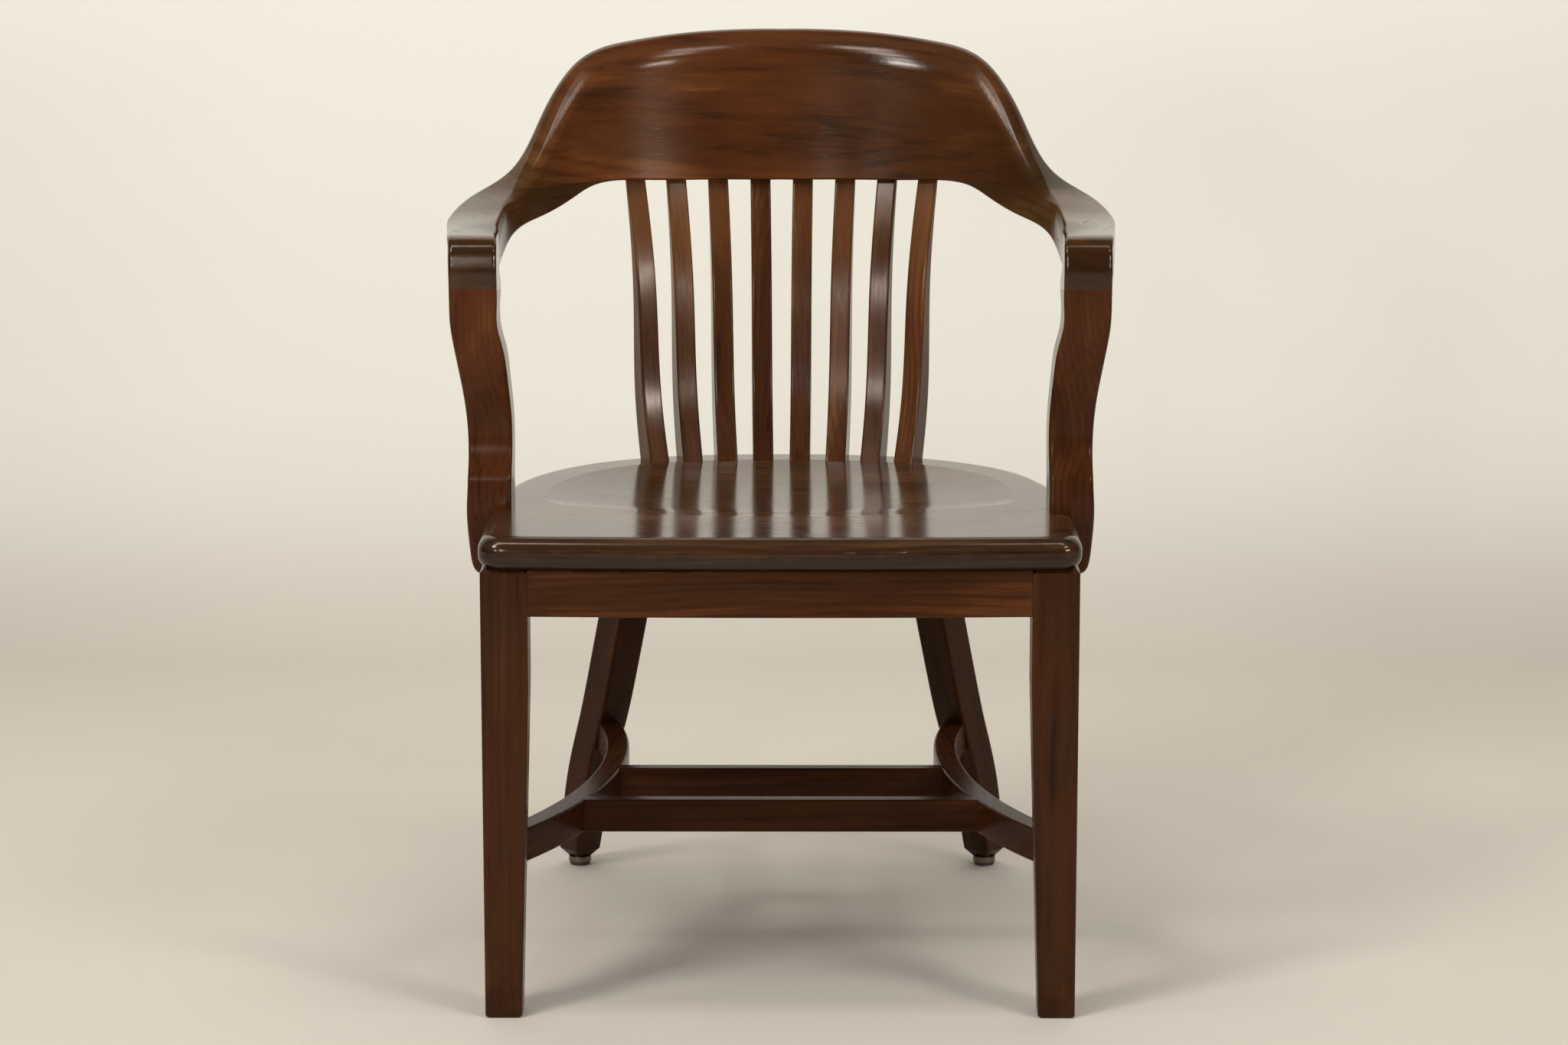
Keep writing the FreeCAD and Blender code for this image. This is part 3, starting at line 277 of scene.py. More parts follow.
    def ramp(self, factor: Value, stops: list[tuple[float, Triple]]) -> Value:
        """Colour ramp with smooth passages."""
        return self.output("ShaderNodeValToRGB", 0, {"stops": stops}, {0: factor})

    def object_place(self) -> Value:
        """The point's place in the model, in metres."""
        return self.output("ShaderNodeTexCoord", "Object")

    def parts(self, vector: Value) -> tuple[Value, Value, Value]:
        """The three numbers of a vector."""
        made = self.node("ShaderNodeSeparateXYZ", None, {0: vector})
        return tuple(Value(self, made.outputs[index]) for index in range(3))

    def joined(self, *numbers: Value) -> Value:
        """The vector of three numbers."""
        return self.output("ShaderNodeCombineXYZ", 0, None, dict(enumerate(numbers)))

    def edge(self, radius: float, span: tuple[float, float] = (0.01, 0.16)) -> Value:
        """Mask of the outer edges, from 0 on a flat face to 1 on a sharp edge.

        Args:
            radius: Reach of an edge in metres.
            span: How far the rounded normal leaves the plain one where the mask begins and
                where it is full, as 1 less their dot product.

        Returns:
            The mask.
        """
        rounded = self.output("ShaderNodeBevel", 0, {"samples": 3}, {"Radius": radius})
        plain = self.output("ShaderNodeNewGeometry", "Normal")
        return (1.0 - self.vector("DOT_PRODUCT", rounded, plain)).step(*span)

    def bump(self, height: Value, distance: float, strength: float) -> Value:
        """Bump normal from a height.

        Args:
            height: The height, from 0 to 1.
            distance: Metres that a height of 1 stands for.
            strength: Share of the effect that is used.

        Returns:
            The normal.
        """
        sockets = {"Height": height, "Distance": distance, "Strength": strength}
        return self.output("ShaderNodeBump", 0, None, sockets)

    def principled(self, sockets: dict[str, Any]) -> Value:
        """Principled shader with the given sockets."""
        return self.output("ShaderNodeBsdfPrincipled", 0, None, sockets)

    def end(self, shader: Value) -> bpy.types.Material:
        """Ends a material's graph in a shader and gives the material."""
        self.node("ShaderNodeOutputMaterial", None, {"Surface": shader})
        return self.owner


class Gloss(Enum):
    """How rough the lacquer is."""

    SATIN = 0.27
    SEMI_GLOSS = 0.19
    GLOSS = 0.15


@dataclass(frozen=True)
class GrainRun:
    """How the timber of one piece lies: its grain runs along a line beside the heart of the tree.

    A bent piece has its grain on arcs about an upright axis through its start. The layers of the
    bend are spread wide, and the grain climbs a little along the arcs.
    """

    start: Triple
    along: Triple
    heart: tuple[float, float] = (0.05, -0.11)
    shift: float = 0.0
    bend: float = 0.0
    layer_spread: float = 0.25
    climb: float = 0.02

    def place(self, graph: Graph) -> Value:
        """Coordinates in the timber in metres, with the grain along their first axis."""
        return self.bent(graph) if self.bend else self.straight(graph)

    def bent(self, graph: Graph) -> Value:
        """Coordinates along, out of and above the arcs of a bent piece.

        Args:
            graph: Graph of the material.

        Returns:
            The coordinates in metres.
        """
        from_axis = graph.vector("SUBTRACT", graph.object_place(), self.start)
        across, back, height = graph.parts(from_axis)
        turn = graph.math("ARCTAN2", across, back)
        reach = graph.vector("LENGTH", graph.joined(across, back, height * 0.0))
        along = turn * self.bend + self.shift
        above = height + turn * (self.climb * self.bend)
        return graph.joined(along, reach * self.layer_spread, above)

    def straight(self, graph: Graph) -> Value:
        """Coordinates turned into the line of the grain.

        Args:
            graph: Graph of the material.

        Returns:
            The coordinates in metres.
        """
        upright_limit = 0.7
        first = Vector(self.along).normalized()
        second = Vector((0, 0, 1)) if abs(first.z) < upright_limit else Vector((0, -1, 0))
        third = first.cross(second).normalized()
        second = third.cross(first)
        turn = Matrix((first, second, third)).transposed().to_euler()
        origin = Vector(self.start) - first * self.shift
        sockets = {
            "Vector": graph.object_place(), "Location": tuple(origin), "Rotation": tuple(turn),
        }
        return graph.output("ShaderNodeMapping", 0, {"vector_type": "TEXTURE"}, sockets)


class Mask(ABC):
    """Part of a surface that a tint covers. Tints stand for grime, dark joints and tones, and for
    painted light and shade.
    """

    @abstractmethod
    def on(self, graph: Graph, patches: Value) -> Value:
        """Mask from 0 to 1, from the material's graph and its patchy noise."""


@dataclass(frozen=True)
class NearHeight(Mask):
    """Darkening that gathers about one height in metres and ends at a reach from it: grime, with
    painted shade where parts meet.
    """

    level: float
    reach: float
    least: float = 0.25
    patchy: float = 0.5

    def on(self, graph: Graph, patches: Value) -> Value:
        """Mask of the grime and painted shade."""
        away = abs(graph.parts(graph.object_place())[2] - self.level)
        return away.step(self.reach, 0.0) * (self.least + patches * self.patchy)


@dataclass(frozen=True)
class TowardFloor(Mask):
    """Grime that ends at a height in metres and grows towards the floor."""

    top: float
    strength: float = 0.55
    span: tuple[float, float] = (0.35, 0.65)

    def on(self, graph: Graph, patches: Value) -> Value:
        """Mask of the grime."""
        height = graph.parts(graph.object_place())[2]
        return height.step(self.top, 0.0) * patches.step(*self.span) * self.strength


class Direction(Enum):
    """Directions in which a tone may grow. Outward is away from the middle of the chair."""

    OUTWARD = "outward"
    RIGHT = "right"
    BACK = "back"
    UP = "up"


@dataclass(frozen=True)
class Beyond(Mask):
    """Tone that begins at one place in metres and is full at another, with a patchy front."""

    direction: Direction
    start: float
    full: float
    strength: float = 1.0
    wander: float = 0.02

    def on(self, graph: Graph, patches: Value) -> Value:
        """Mask of the places that the tone has reached.

        Args:
            graph: Graph of the material.
            patches: Its patchy noise.

        Returns:
            The mask.
        """
        across, depth, height = graph.parts(graph.object_place())
        places = {
            Direction.OUTWARD: abs(across), Direction.RIGHT: across,
            Direction.BACK: depth, Direction.UP: height,
        }
        reached = places[self.direction] + (patches - 0.5) * self.wander
        return reached.step(self.start, self.full) * self.strength


@dataclass(frozen=True)
class GlueLines(Mask):
    """Dark lines at the depths where a board meets its neighbours."""

    depths: tuple[float, ...]
    reach: float = 0.0005
    strength: float = 0.3

    def on(self, graph: Graph, patches: Value) -> Value:
        """Mask of the lines."""
        depth = graph.parts(graph.object_place())[1]
        return sum(abs(depth - own).step(self.reach, 0.0) for own in self.depths) * self.strength


@dataclass(frozen=True)
class StainAndPaintedLight:
    """A tint over part of the wood. Tints stand for grime, dark joints and tones of the timber,
    and also for painted light and shade; this one is dark grey-brown unless a colour is given.
    """

    where: Mask
    colour: Triple = (0.30, 0.25, 0.22)
    blend: Blend = Blend.MULTIPLY


@dataclass(frozen=True)
class Marks:
    """One kind of mark in the timber: noise drawn out along the grain.

    Along and across are features in a metre. With a span, the noise steps from 0 to 1 over it,
    so that only its heights are left as marks.
    """

    along: float
    across: float
    detail: float
    roughness: float = 0.5
    span: Optional[tuple[float, float]] = None

    def on(self, graph: Graph, place: Value) -> Value:
        """The marks on a piece.

        Args:
            graph: Graph of the material.
            place: Coordinates in metres, with the grain along their first axis.

        Returns:
            The marks, from 0 to 1.
        """
        scale = (self.along, self.across, self.across)
        marks = graph.noise(place, scale, self.detail, self.roughness)
        return marks.step(*self.span) if self.span else marks


@dataclass(frozen=True)
class Grain:
    """All marks of one piece's timber, each from 0 to 1."""

    rings: Value
    clouds: Value
    bands: Value
    streaks: Value
    fibres: Value
    pores: Value
    glow: Value
    hairlines: Value
    ripple: Value
    patches: Value
    worn_and_highlit: Value


@dataclass(frozen=True)
class Walnut:
    """Stained walnut under clear lacquer.

    The six numbers from figure to ripple say how strong its marks are.
    """

    deep: Triple
    body: Triple
    bright: Triple
    gloss: Gloss
    figure: float = 1.0
    rings: float = 0.16
    clouds: float = 0.75
    warmth: float = 0.5
    edge_wear_and_highlight: float = 0.3
    ripple: float = 0.45
    ring_width: float = 0.0065
    lacquer: float = 0.10
    refraction: float = 1.33
    # Tints of grime, joints and tones, and of painted light and shade, laid over the wood in
    # order.
    stains_and_painted_light: tuple[StainAndPaintedLight, ...] = ()

    wander_scale: Triple = (2.6, 14.0, 14.0)
    wander_reach: Triple = (0.0, 0.010, 0.010)
    ring_sharpness: float = 2.2
    cloud_marks: Marks = Marks(3.2, 17.0, 3.0)
    band_marks: Marks = Marks(4.5, 75.0, 3.0, 0.6)
    streak_marks: Marks = Marks(11.0, 330.0, 2.0, 0.55)
    fibre_marks: Marks = Marks(70.0, 1500.0, 1.0)
    pore_marks: Marks = Marks(55.0, 900.0, 0.0, span=(0.62, 0.74))
    glow_marks: Marks = Marks(5.0, 26.0, 2.0, span=(0.48, 0.72))
    hairline_marks: Marks = Marks(18.0, 260.0, 3.0, 0.7, span=(0.60, 0.78))
    ripple_marks: Marks = Marks(60.0, 170.0, 2.0)
    patch_marks: Marks = Marks(38.0, 38.0, 3.0, 0.6)
    smear_scale: Triple = (9.0, 9.0, 14.0)

    tones: Triple = (0.22, 0.50, 0.80)
    ring_middle: float = 0.40
    band_tone: float = 0.75
    streak_tone: float = 0.34
    fibre_tone: float = 0.10
    glow_strength: float = 0.55
    pore_strength: float = 0.45
    pore_tint: Triple = (0.35, 0.30, 0.27)

    smear_roughness: float = 0.14
    hairline_roughness: float = 0.05
    pore_roughness: float = 0.12
    worn_roughness: float = 0.4

    relief_height: float = 0.0006
    relief_share: float = 0.20
    streak_height: float = 0.10
    fibre_height: float = 0.03
    pore_depth: float = 0.16
    hairline_depth: float = 0.05

    worn_and_highlit_reach: float = 0.0022
    worn_and_highlit_span: tuple[float, float] = (0.46, 0.66)
    worn_lacquer: float = 0.8
    reflection_tint: Triple = (1.0, 0.84, 0.70)
    coat_roughness: float = 0.14
    coat_refraction: float = 1.5

    def shaded(self, share: float, *stains_and_painted_light: StainAndPaintedLight) -> "Walnut":
        """Lighter or darker copy of this timber, for pieces with a tone of their own and for the
        painted shade of the rear legs.

        Args:
            share: Brightness against this timber's.
            stains_and_painted_light: More tints of grime, joints and tones, and of painted light
                and shade, over it.

        Returns:
            The shaded timber.
        """
        deep, body, bright = (
            tuple(share * part for part in colour)
            for colour in (self.deep, self.body, self.bright)
        )
        return replace(self, deep=deep, body=body, bright=bright, stains_and_painted_light=self.stains_and_painted_light + stains_and_painted_light)

    def growth_rings(self, graph: Graph, wandering: Value, heart: tuple[float, float]) -> Value:
        """Growth rings about the heart of the tree.

        Args:
            graph: Graph of the material.
            wandering: Coordinates in the timber, pushed about a little.
            heart: Where the heart lies beside the grain's line.

        Returns:
            The rings, from 0 to 1.
        """
        from_heart = graph.vector("SUBTRACT", wandering, (0.0, *heart))
        distance = graph.vector("LENGTH", graph.vector("MULTIPLY", from_heart, (0.0, 1.0, 1.0)))
        return (distance / self.ring_width).wave() ** self.ring_sharpness

    def grain(self, graph: Graph, run: GrainRun) -> Grain:
        """Marks of one piece's timber.

        Args:
            graph: Graph of the material.
            run: How the piece's timber lies.

        Returns:
            The marks.
        """
        place = run.place(graph)
        wandering = graph.drift(place, self.wander_scale, self.wander_reach)
        rings = self.growth_rings(graph, wandering, run.heart)
        patches = self.patch_marks.on(graph, graph.object_place())
        # Worn edges, which also stand for the painted highlights that gloss gives on rounded
        # edges.
        worn_and_highlit_mask = graph.edge(self.worn_and_highlit_reach) * patches.step(*self.worn_and_highlit_span)
        return Grain(
            rings=rings,
            clouds=self.cloud_marks.on(graph, place),
            bands=self.band_marks.on(graph, wandering),
            streaks=self.streak_marks.on(graph, wandering),
            fibres=self.fibre_marks.on(graph, place),
            pores=self.pore_marks.on(graph, place) * (0.35 + rings * 0.65),
            glow=self.glow_marks.on(graph, place),
            hairlines=self.hairline_marks.on(graph, place),
            ripple=self.ripple_marks.on(graph, place),
            patches=patches,
            worn_and_highlit=worn_and_highlit_mask * self.edge_wear_and_highlight,
        )

    def colour(self, graph: Graph, grain: Grain) -> Value:
        """Colour of the wood: its marks, then the worn edges with their painted highlight, and
        the tints of grime, joints and tones and of painted light and shade over them.

        Args:
            graph: Graph of the material.
            grain: Marks of the timber.

        Returns:
            The colour.
        """
        bands, streaks = grain.bands - 0.5, grain.streaks - 0.5
        tone = 0.5 + (bands * self.band_tone + streaks * self.streak_tone) * self.figure
        tone = tone + (self.ring_middle - grain.rings) * self.rings
        tone = tone + (grain.clouds - 0.5) * self.clouds + (grain.fibres - 0.5) * self.fibre_tone
        glow = grain.glow * self.warmth * self.glow_strength
        pores = grain.pores * self.pore_strength
        colour = graph.ramp(tone, list(zip(self.tones, (self.deep, self.body, self.bright))))
        colour = graph.mix(glow, colour, self.bright, Blend.SOFT_LIGHT)
        colour = graph.mix(pores, colour, self.pore_tint, Blend.MULTIPLY)
        # Wear with a painted highlight: the edges are mixed towards the bright tone.
        colour = graph.mix(grain.worn_and_highlit, colour, self.bright)
        # Tints over the wood: grime, glue lines and tones, and painted light and shade.
        for overlay in self.stains_and_painted_light:
            mask = overlay.where.on(graph, grain.patches)
            colour = graph.mix(mask, colour, overlay.colour, overlay.blend)
        return colour

    def roughness(self, graph: Graph, grain: Grain) -> Value:
        """Roughness of the lacquer, with smears and hairlines.

        Args:
            graph: Graph of the material.
            grain: Marks of the timber.

        Returns:
            The roughness.
        """
        smears = graph.noise(graph.object_place(), self.smear_scale, detail=3.0, roughness=0.55)
        roughness = self.gloss.value + (smears - 0.5) * self.smear_roughness
        roughness = roughness + grain.hairlines * self.hairline_roughness
        return roughness + grain.pores * self.pore_roughness + grain.worn_and_highlit * self.worn_roughness

    def relief(self, grain: Grain) -> Value:
        """Height of the surface as a share of the relief's height.

        Args:
            grain: Marks of the timber.

        Returns:
            The height.
        """
        height = grain.ripple * self.ripple + grain.streaks * self.streak_height
        height = height - grain.pores * self.pore_depth - grain.hairlines * self.hairline_depth
        return height + grain.fibres * self.fibre_height

    def material(self, name: str, run: GrainRun) -> bpy.types.Material:
        """Material of one piece.

        Args:
            name: Name of the material.
            run: How the piece's timber lies.

        Returns:
            The material.
        """
        graph = Graph.material(name)
        grain = self.grain(graph, run)
        return graph.end(graph.principled({
            "Base Color": self.colour(graph, grain),
            "Roughness": self.roughness(graph, grain),
            "Normal": graph.bump(self.relief(grain), self.relief_height, self.relief_share),
            "IOR": self.refraction,
            "Specular Tint": (*self.reflection_tint, 1.0),
            "Coat Weight": self.lacquer - grain.worn_and_highlit * (self.lacquer * self.worn_lacquer),
            "Coat Roughness": self.coat_roughness,
            "Coat IOR": self.coat_refraction,
        }))


@dataclass(frozen=True)
class BareHardwood:
    """Bare pale hardwood of the hidden dowels and corner blocks."""

    body: Triple = (0.40, 0.25, 0.13)
    dark: Triple = (0.24, 0.14, 0.07)
    fleck_tint: Triple = (0.55, 0.42, 0.32)
    roughness: float = 0.62
    relief_height: float = 0.0003
    relief_share: float = 0.5
    band_marks: Marks = Marks(8.0, 120.0, 3.0, 0.6)
    fleck_marks: Marks = Marks(160.0, 900.0, 0.0, span=(0.60, 0.72))
    saw_marks: Marks = Marks(700.0, 30.0, 2.0)

    def material(self, name: str, run: GrainRun) -> bpy.types.Material:
        """Material of one node.

        Args:
            name: Name of the material.
            run: How the timber lies.

        Returns:
            The material.
        """
        graph = Graph.material(name)
        place = run.place(graph)
        bands = self.band_marks.on(graph, place)
        flecks = self.fleck_marks.on(graph, place)
        height = self.saw_marks.on(graph, place) * 0.7 - flecks * 0.3
        colour = graph.mix(bands.step(0.3, 0.7), self.dark, self.body)
        return graph.end(graph.principled({
            "Base Color": graph.mix(flecks * 0.4, colour, self.fleck_tint, Blend.MULTIPLY),
            "Roughness": self.roughness + (bands - 0.5) * 0.15,
            "Normal": graph.bump(height, self.relief_height, self.relief_share),
        }))


@dataclass(frozen=True)
class Steel:
    """Plain or dulled steel with fine scratches and a little rust in its hollows."""

    body: Triple
    rust: Triple
    roughness: float
    scratch_scale: Triple = (500.0, 500.0, 3200.0)
    spot_scale: Triple = (260.0, 260.0, 260.0)
    relief_height: float = 0.00015
    relief_share: float = 0.5

    def material(self, name: str) -> bpy.types.Material:
        """Material of one or more nodes.

        Args:
            name: Name of the material.

        Returns:
            The material.
        """
        graph = Graph.material(name)
        place = graph.object_place()
        scratches = graph.noise(place, self.scratch_scale, detail=2.0, roughness=0.7)
        spots = graph.noise(place, self.spot_scale, detail=4.0, roughness=0.65).step(0.52, 0.68)
        height = scratches - spots * 0.5
        return graph.end(graph.principled({
            "Base Color": graph.mix(spots * 0.6, self.body, self.rust),
            "Metallic": 1.0 - spots * 0.45,
            "Roughness": self.roughness + (scratches - 0.5) * 0.3 + spots * 0.2,
            "Normal": graph.bump(height, self.relief_height, self.relief_share),
        }))


@dataclass(frozen=True)
class HardRubber:
    """Dark hard rubber of the glides, dusty and scuffed where it meets the floor."""

    body: Triple = (0.020, 0.017, 0.015)
    dust: Triple = (0.10, 0.085, 0.07)
    dust_height: float = 0.004
    grain_scale: Triple = (900.0, 900.0, 900.0)
    roughness: float = 0.55
    relief_height: float = 0.0003
    relief_share: float = 0.6

    def material(self, name: str) -> bpy.types.Material:
        """Material of one node.

        Args:
            name: Name of the material.

        Returns:
            The material.
        """
        graph = Graph.material(name)
        place = graph.object_place()
        grains = graph.noise(place, self.grain_scale, detail=3.0, roughness=0.6)
        low_dust = graph.parts(place)[2].step(self.dust_height, 0.0) * 0.5
        dusty = low_dust + grains.step(0.5, 0.75) * 0.3
        return graph.end(graph.principled({
            "Base Color": graph.mix(dusty, self.body, self.dust),
            "Roughness": self.roughness + (grains - 0.5) * 0.4,
            "Normal": graph.bump(grains, self.relief_height, self.relief_share),
        }))


def dress(node: str, material: bpy.types.Material) -> None:
    """Gives a node of the model its material.

    Args:
        node: Name of the node.
        material: The material for all of its slots.
    """
    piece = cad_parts[node]
    if not piece.material_slots:
        piece.data.materials.append(material)
    for slot in piece.material_slots:
        slot.material = material


def middle(node: str) -> Triple:
    """Middle of a node's box."""
    low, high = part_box(node)
    return tuple((Vector(low) + Vector(high)) / 2)


@dataclass
class Hoop:
    """Crest rail, arms and posts. The bend is that of the crest and the arms."""

    bend_centre: Triple = (0.0, 0.02, 0.70)
    bend_radius: float = 0.26
    crest: Walnut = Walnut(
        deep=(0.024, 0.0078, 0.0022), body=(0.068, 0.0203, 0.0050),
        bright=(0.138, 0.045, 0.0108), gloss=Gloss.SEMI_GLOSS,
        figure=0.62, rings=0.08, clouds=0.85, warmth=0.6, edge_wear_and_highlight=0.0,
        lacquer=0.40, refraction=1.27,
        stains_and_painted_light=(
            # Painted reflection: the crest's shoulders are tinted olive and darker, which also
            # blends the crest into the arms' tone.
            StainAndPaintedLight(Beyond(Direction.OUTWARD, start=0.20, full=0.26), (0.52, 0.78, 0.92)),
            # Painted light and shade: the crest is lighter towards its left and darker towards
            # its right.
            StainAndPaintedLight(Beyond(Direction.RIGHT, start=0.0, full=0.15), (0.80, 0.88, 0.95)),
            StainAndPaintedLight(Beyond(Direction.RIGHT, start=-0.06, full=-0.15), (1.28, 1.34, 1.40)),
        ),
    )
    arm: Walnut = Walnut(
        deep=(0.016, 0.0073, 0.0024), body=(0.044, 0.0192, 0.0056),
        bright=(0.090, 0.043, 0.0120), gloss=Gloss.SEMI_GLOSS,
        figure=0.5, rings=0.06, warmth=0.2, edge_wear_and_highlight=0.0, lacquer=0.35, refraction=1.36,
        stains_and_painted_light=(StainAndPaintedLight(Beyond(Direction.BACK, start=0.0, full=-0.12), (0.68, 0.60, 0.60)),),
    )
    post: Walnut = Walnut(
        deep=(0.036, 0.0100, 0.0030), body=(0.084, 0.0240, 0.0066),
        bright=(0.150, 0.049, 0.0135), gloss=Gloss.SEMI_GLOSS,
        figure=0.7, rings=0.08, warmth=0.5, edge_wear_and_highlight=0.15, ring_width=0.005,
        lacquer=0.05, refraction=1.24,
        stains_and_painted_light=(
            StainAndPaintedLight(Beyond(Direction.UP, start=0.59, full=0.52, strength=0.8), (0.72, 0.76, 0.88)),
        ),
    )
    post_shades: tuple[float, float] = (1.0, 0.72)
    post_tilt: float = 0.03
    post_shift: float = 0.27

    def dress_crest(self) -> None:
        """Dresses the crest rail, whose grain runs from side to side."""
        along = (1.0, 0.0, 0.0)
        run = GrainRun(self.bend_centre, along, (-0.05, 0.09), 0.3, self.bend_radius)
        dress("crest_rail", self.crest.material("walnut_crest", run))

    def dress_arms(self) -> None:
        """Dresses the arms, whose grain runs round from the crest to the front."""
        along, heart = (1.0, 0.0, 0.0), (-0.03, -0.08)
        for side, shift in (("left", 1.7), ("right", 2.9)):
            run = GrainRun(self.bend_centre, along, heart, shift, self.bend_radius)
            dress("arm_" + side, self.arm.material("walnut_arm_" + side, run))

    def dress_posts(self) -> None:
        """Dresses the posts, whose grain runs upright."""
        for (side, hand), shade in zip(HANDS.items(), self.post_shades):
            node = "arm_post_" + side
            along, shift = (hand * self.post_tilt, 0.0, 1.0), hand * self.post_shift
            run = GrainRun(middle(node), along, (0.06, 0.05), shift)
            dress(node, self.post.shaded(shade).material("walnut_post_" + side, run))


@dataclass
class SlatRow:
    """The eight slats of the back, which spread towards the crest."""

    shades: tuple[float, ...] = (1.10, 1.0, 0.95, 0.74, 0.92, 1.05, 0.88, 1.12)
    # Painted light: the heads of the slats, which lean back towards the light, are mixed towards
    # a lighter orange, by a share for each slat.
    painted_head_light_shares: tuple[float, ...] = (0.50, 0.36, 0.30, 0.0, 0.22, 0.30, 0.0, 0.45)
    painted_head_light_colour: Triple = (0.155, 0.062, 0.018)
    head_start: float = 0.60
    head_full: float = 0.67
    foot_spread: float = 0.125
    head_spread: float = 0.138
    rise: float = 0.273
    wood: Walnut = Walnut(
        deep=(0.030, 0.0100, 0.0034), body=(0.068, 0.0225, 0.0075),
        bright=(0.135, 0.050, 0.0160), gloss=Gloss.SEMI_GLOSS,
        figure=0.8, rings=0.10, warmth=0.5, edge_wear_and_highlight=0.12, ring_width=0.0045,
        lacquer=0.18, refraction=1.37,
        # Grime and painted shade where the slats enter the seat.
        stains_and_painted_light=(StainAndPaintedLight(NearHeight(level=0.436, reach=0.012)),),
    )

    def dress_slats(self) -> None:
        """Dresses each slat with timber of its own, the grain along the slat, and painted light
        on its head.
        """
        for index, (shade, head_light_share) in enumerate(zip(self.shades, self.painted_head_light_shares)):
            node = "slat_%d" % (index + 1)
            # Painted light on the head of the slat.
            reached = Beyond(Direction.UP, self.head_start, self.head_full, head_light_share)
            head = StainAndPaintedLight(reached, self.painted_head_light_colour, Blend.MIX)
            centre = middle(node)
            lean = centre[0] * (self.head_spread / self.foot_spread - 1)
            heart = (0.02 + 0.013 * (index % 3), -0.05 + 0.021 * (index % 4))
            run = GrainRun(centre, (lean, 0.03, self.rise), heart, 0.37 * index)
            dress(node, self.wood.shaded(shade, head).material("walnut_" + node, run))


@dataclass
class Seat:
    """The seat, glued up from boards that run from side to side."""

    shades: tuple[float, ...] = (0.85, 1.02, 0.94, 1.05, 0.97)
    wood: Walnut = Walnut(
        deep=(0.017, 0.0078, 0.0036), body=(0.041, 0.0190, 0.0082),
        bright=(0.086, 0.041, 0.0165), gloss=Gloss.GLOSS,
        figure=0.9, rings=0.14, warmth=0.25, edge_wear_and_highlight=0.0, ring_width=0.007,
        lacquer=0.25, refraction=1.38,
    )
    # Painted shade: the seat is darker below a height of 0.436 m, on the lower part of its edge
    # and underneath.
    painted_underside_shade: StainAndPaintedLight = StainAndPaintedLight(Beyond(Direction.UP, start=0.436, full=0.424, strength=0.75))

    def dress_boards(self) -> None:
        """Dresses each board with timber of its own, a fine dark glue line at its edges and
        painted shade underneath.
        """
        for index, shade in enumerate(self.shades):
            node = "seat_board_%d" % (index + 1)
            heart = (-0.06 - 0.015 * (index % 2), 0.02 - 0.03 * (index % 3))
            run = GrainRun(middle(node), (1.0, 0.01 * (index - 2), 0.0), heart, 0.7 * index)
            (_, front, _), (_, back, _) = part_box(node)
            lines = StainAndPaintedLight(self.glue_lines(index, front, back))
            wood = self.wood.shaded(shade, lines, self.painted_underside_shade)
            dress(node, wood.material("walnut_" + node, run))

    def glue_lines(self, index: int, front: float, back: float) -> GlueLines:
        """Glue lines of a board, which its edges have where another board follows.

        Args:
            index: Place of the board, from the front.
            front: Depth of its front edge.
            back: Depth of its back edge.

        Returns:
            The mask of the lines.
        """
        depths = [front] if index > 0 else []
        if index < len(self.shades) - 1:
            depths.append(back)
        return GlueLines(tuple(depths))


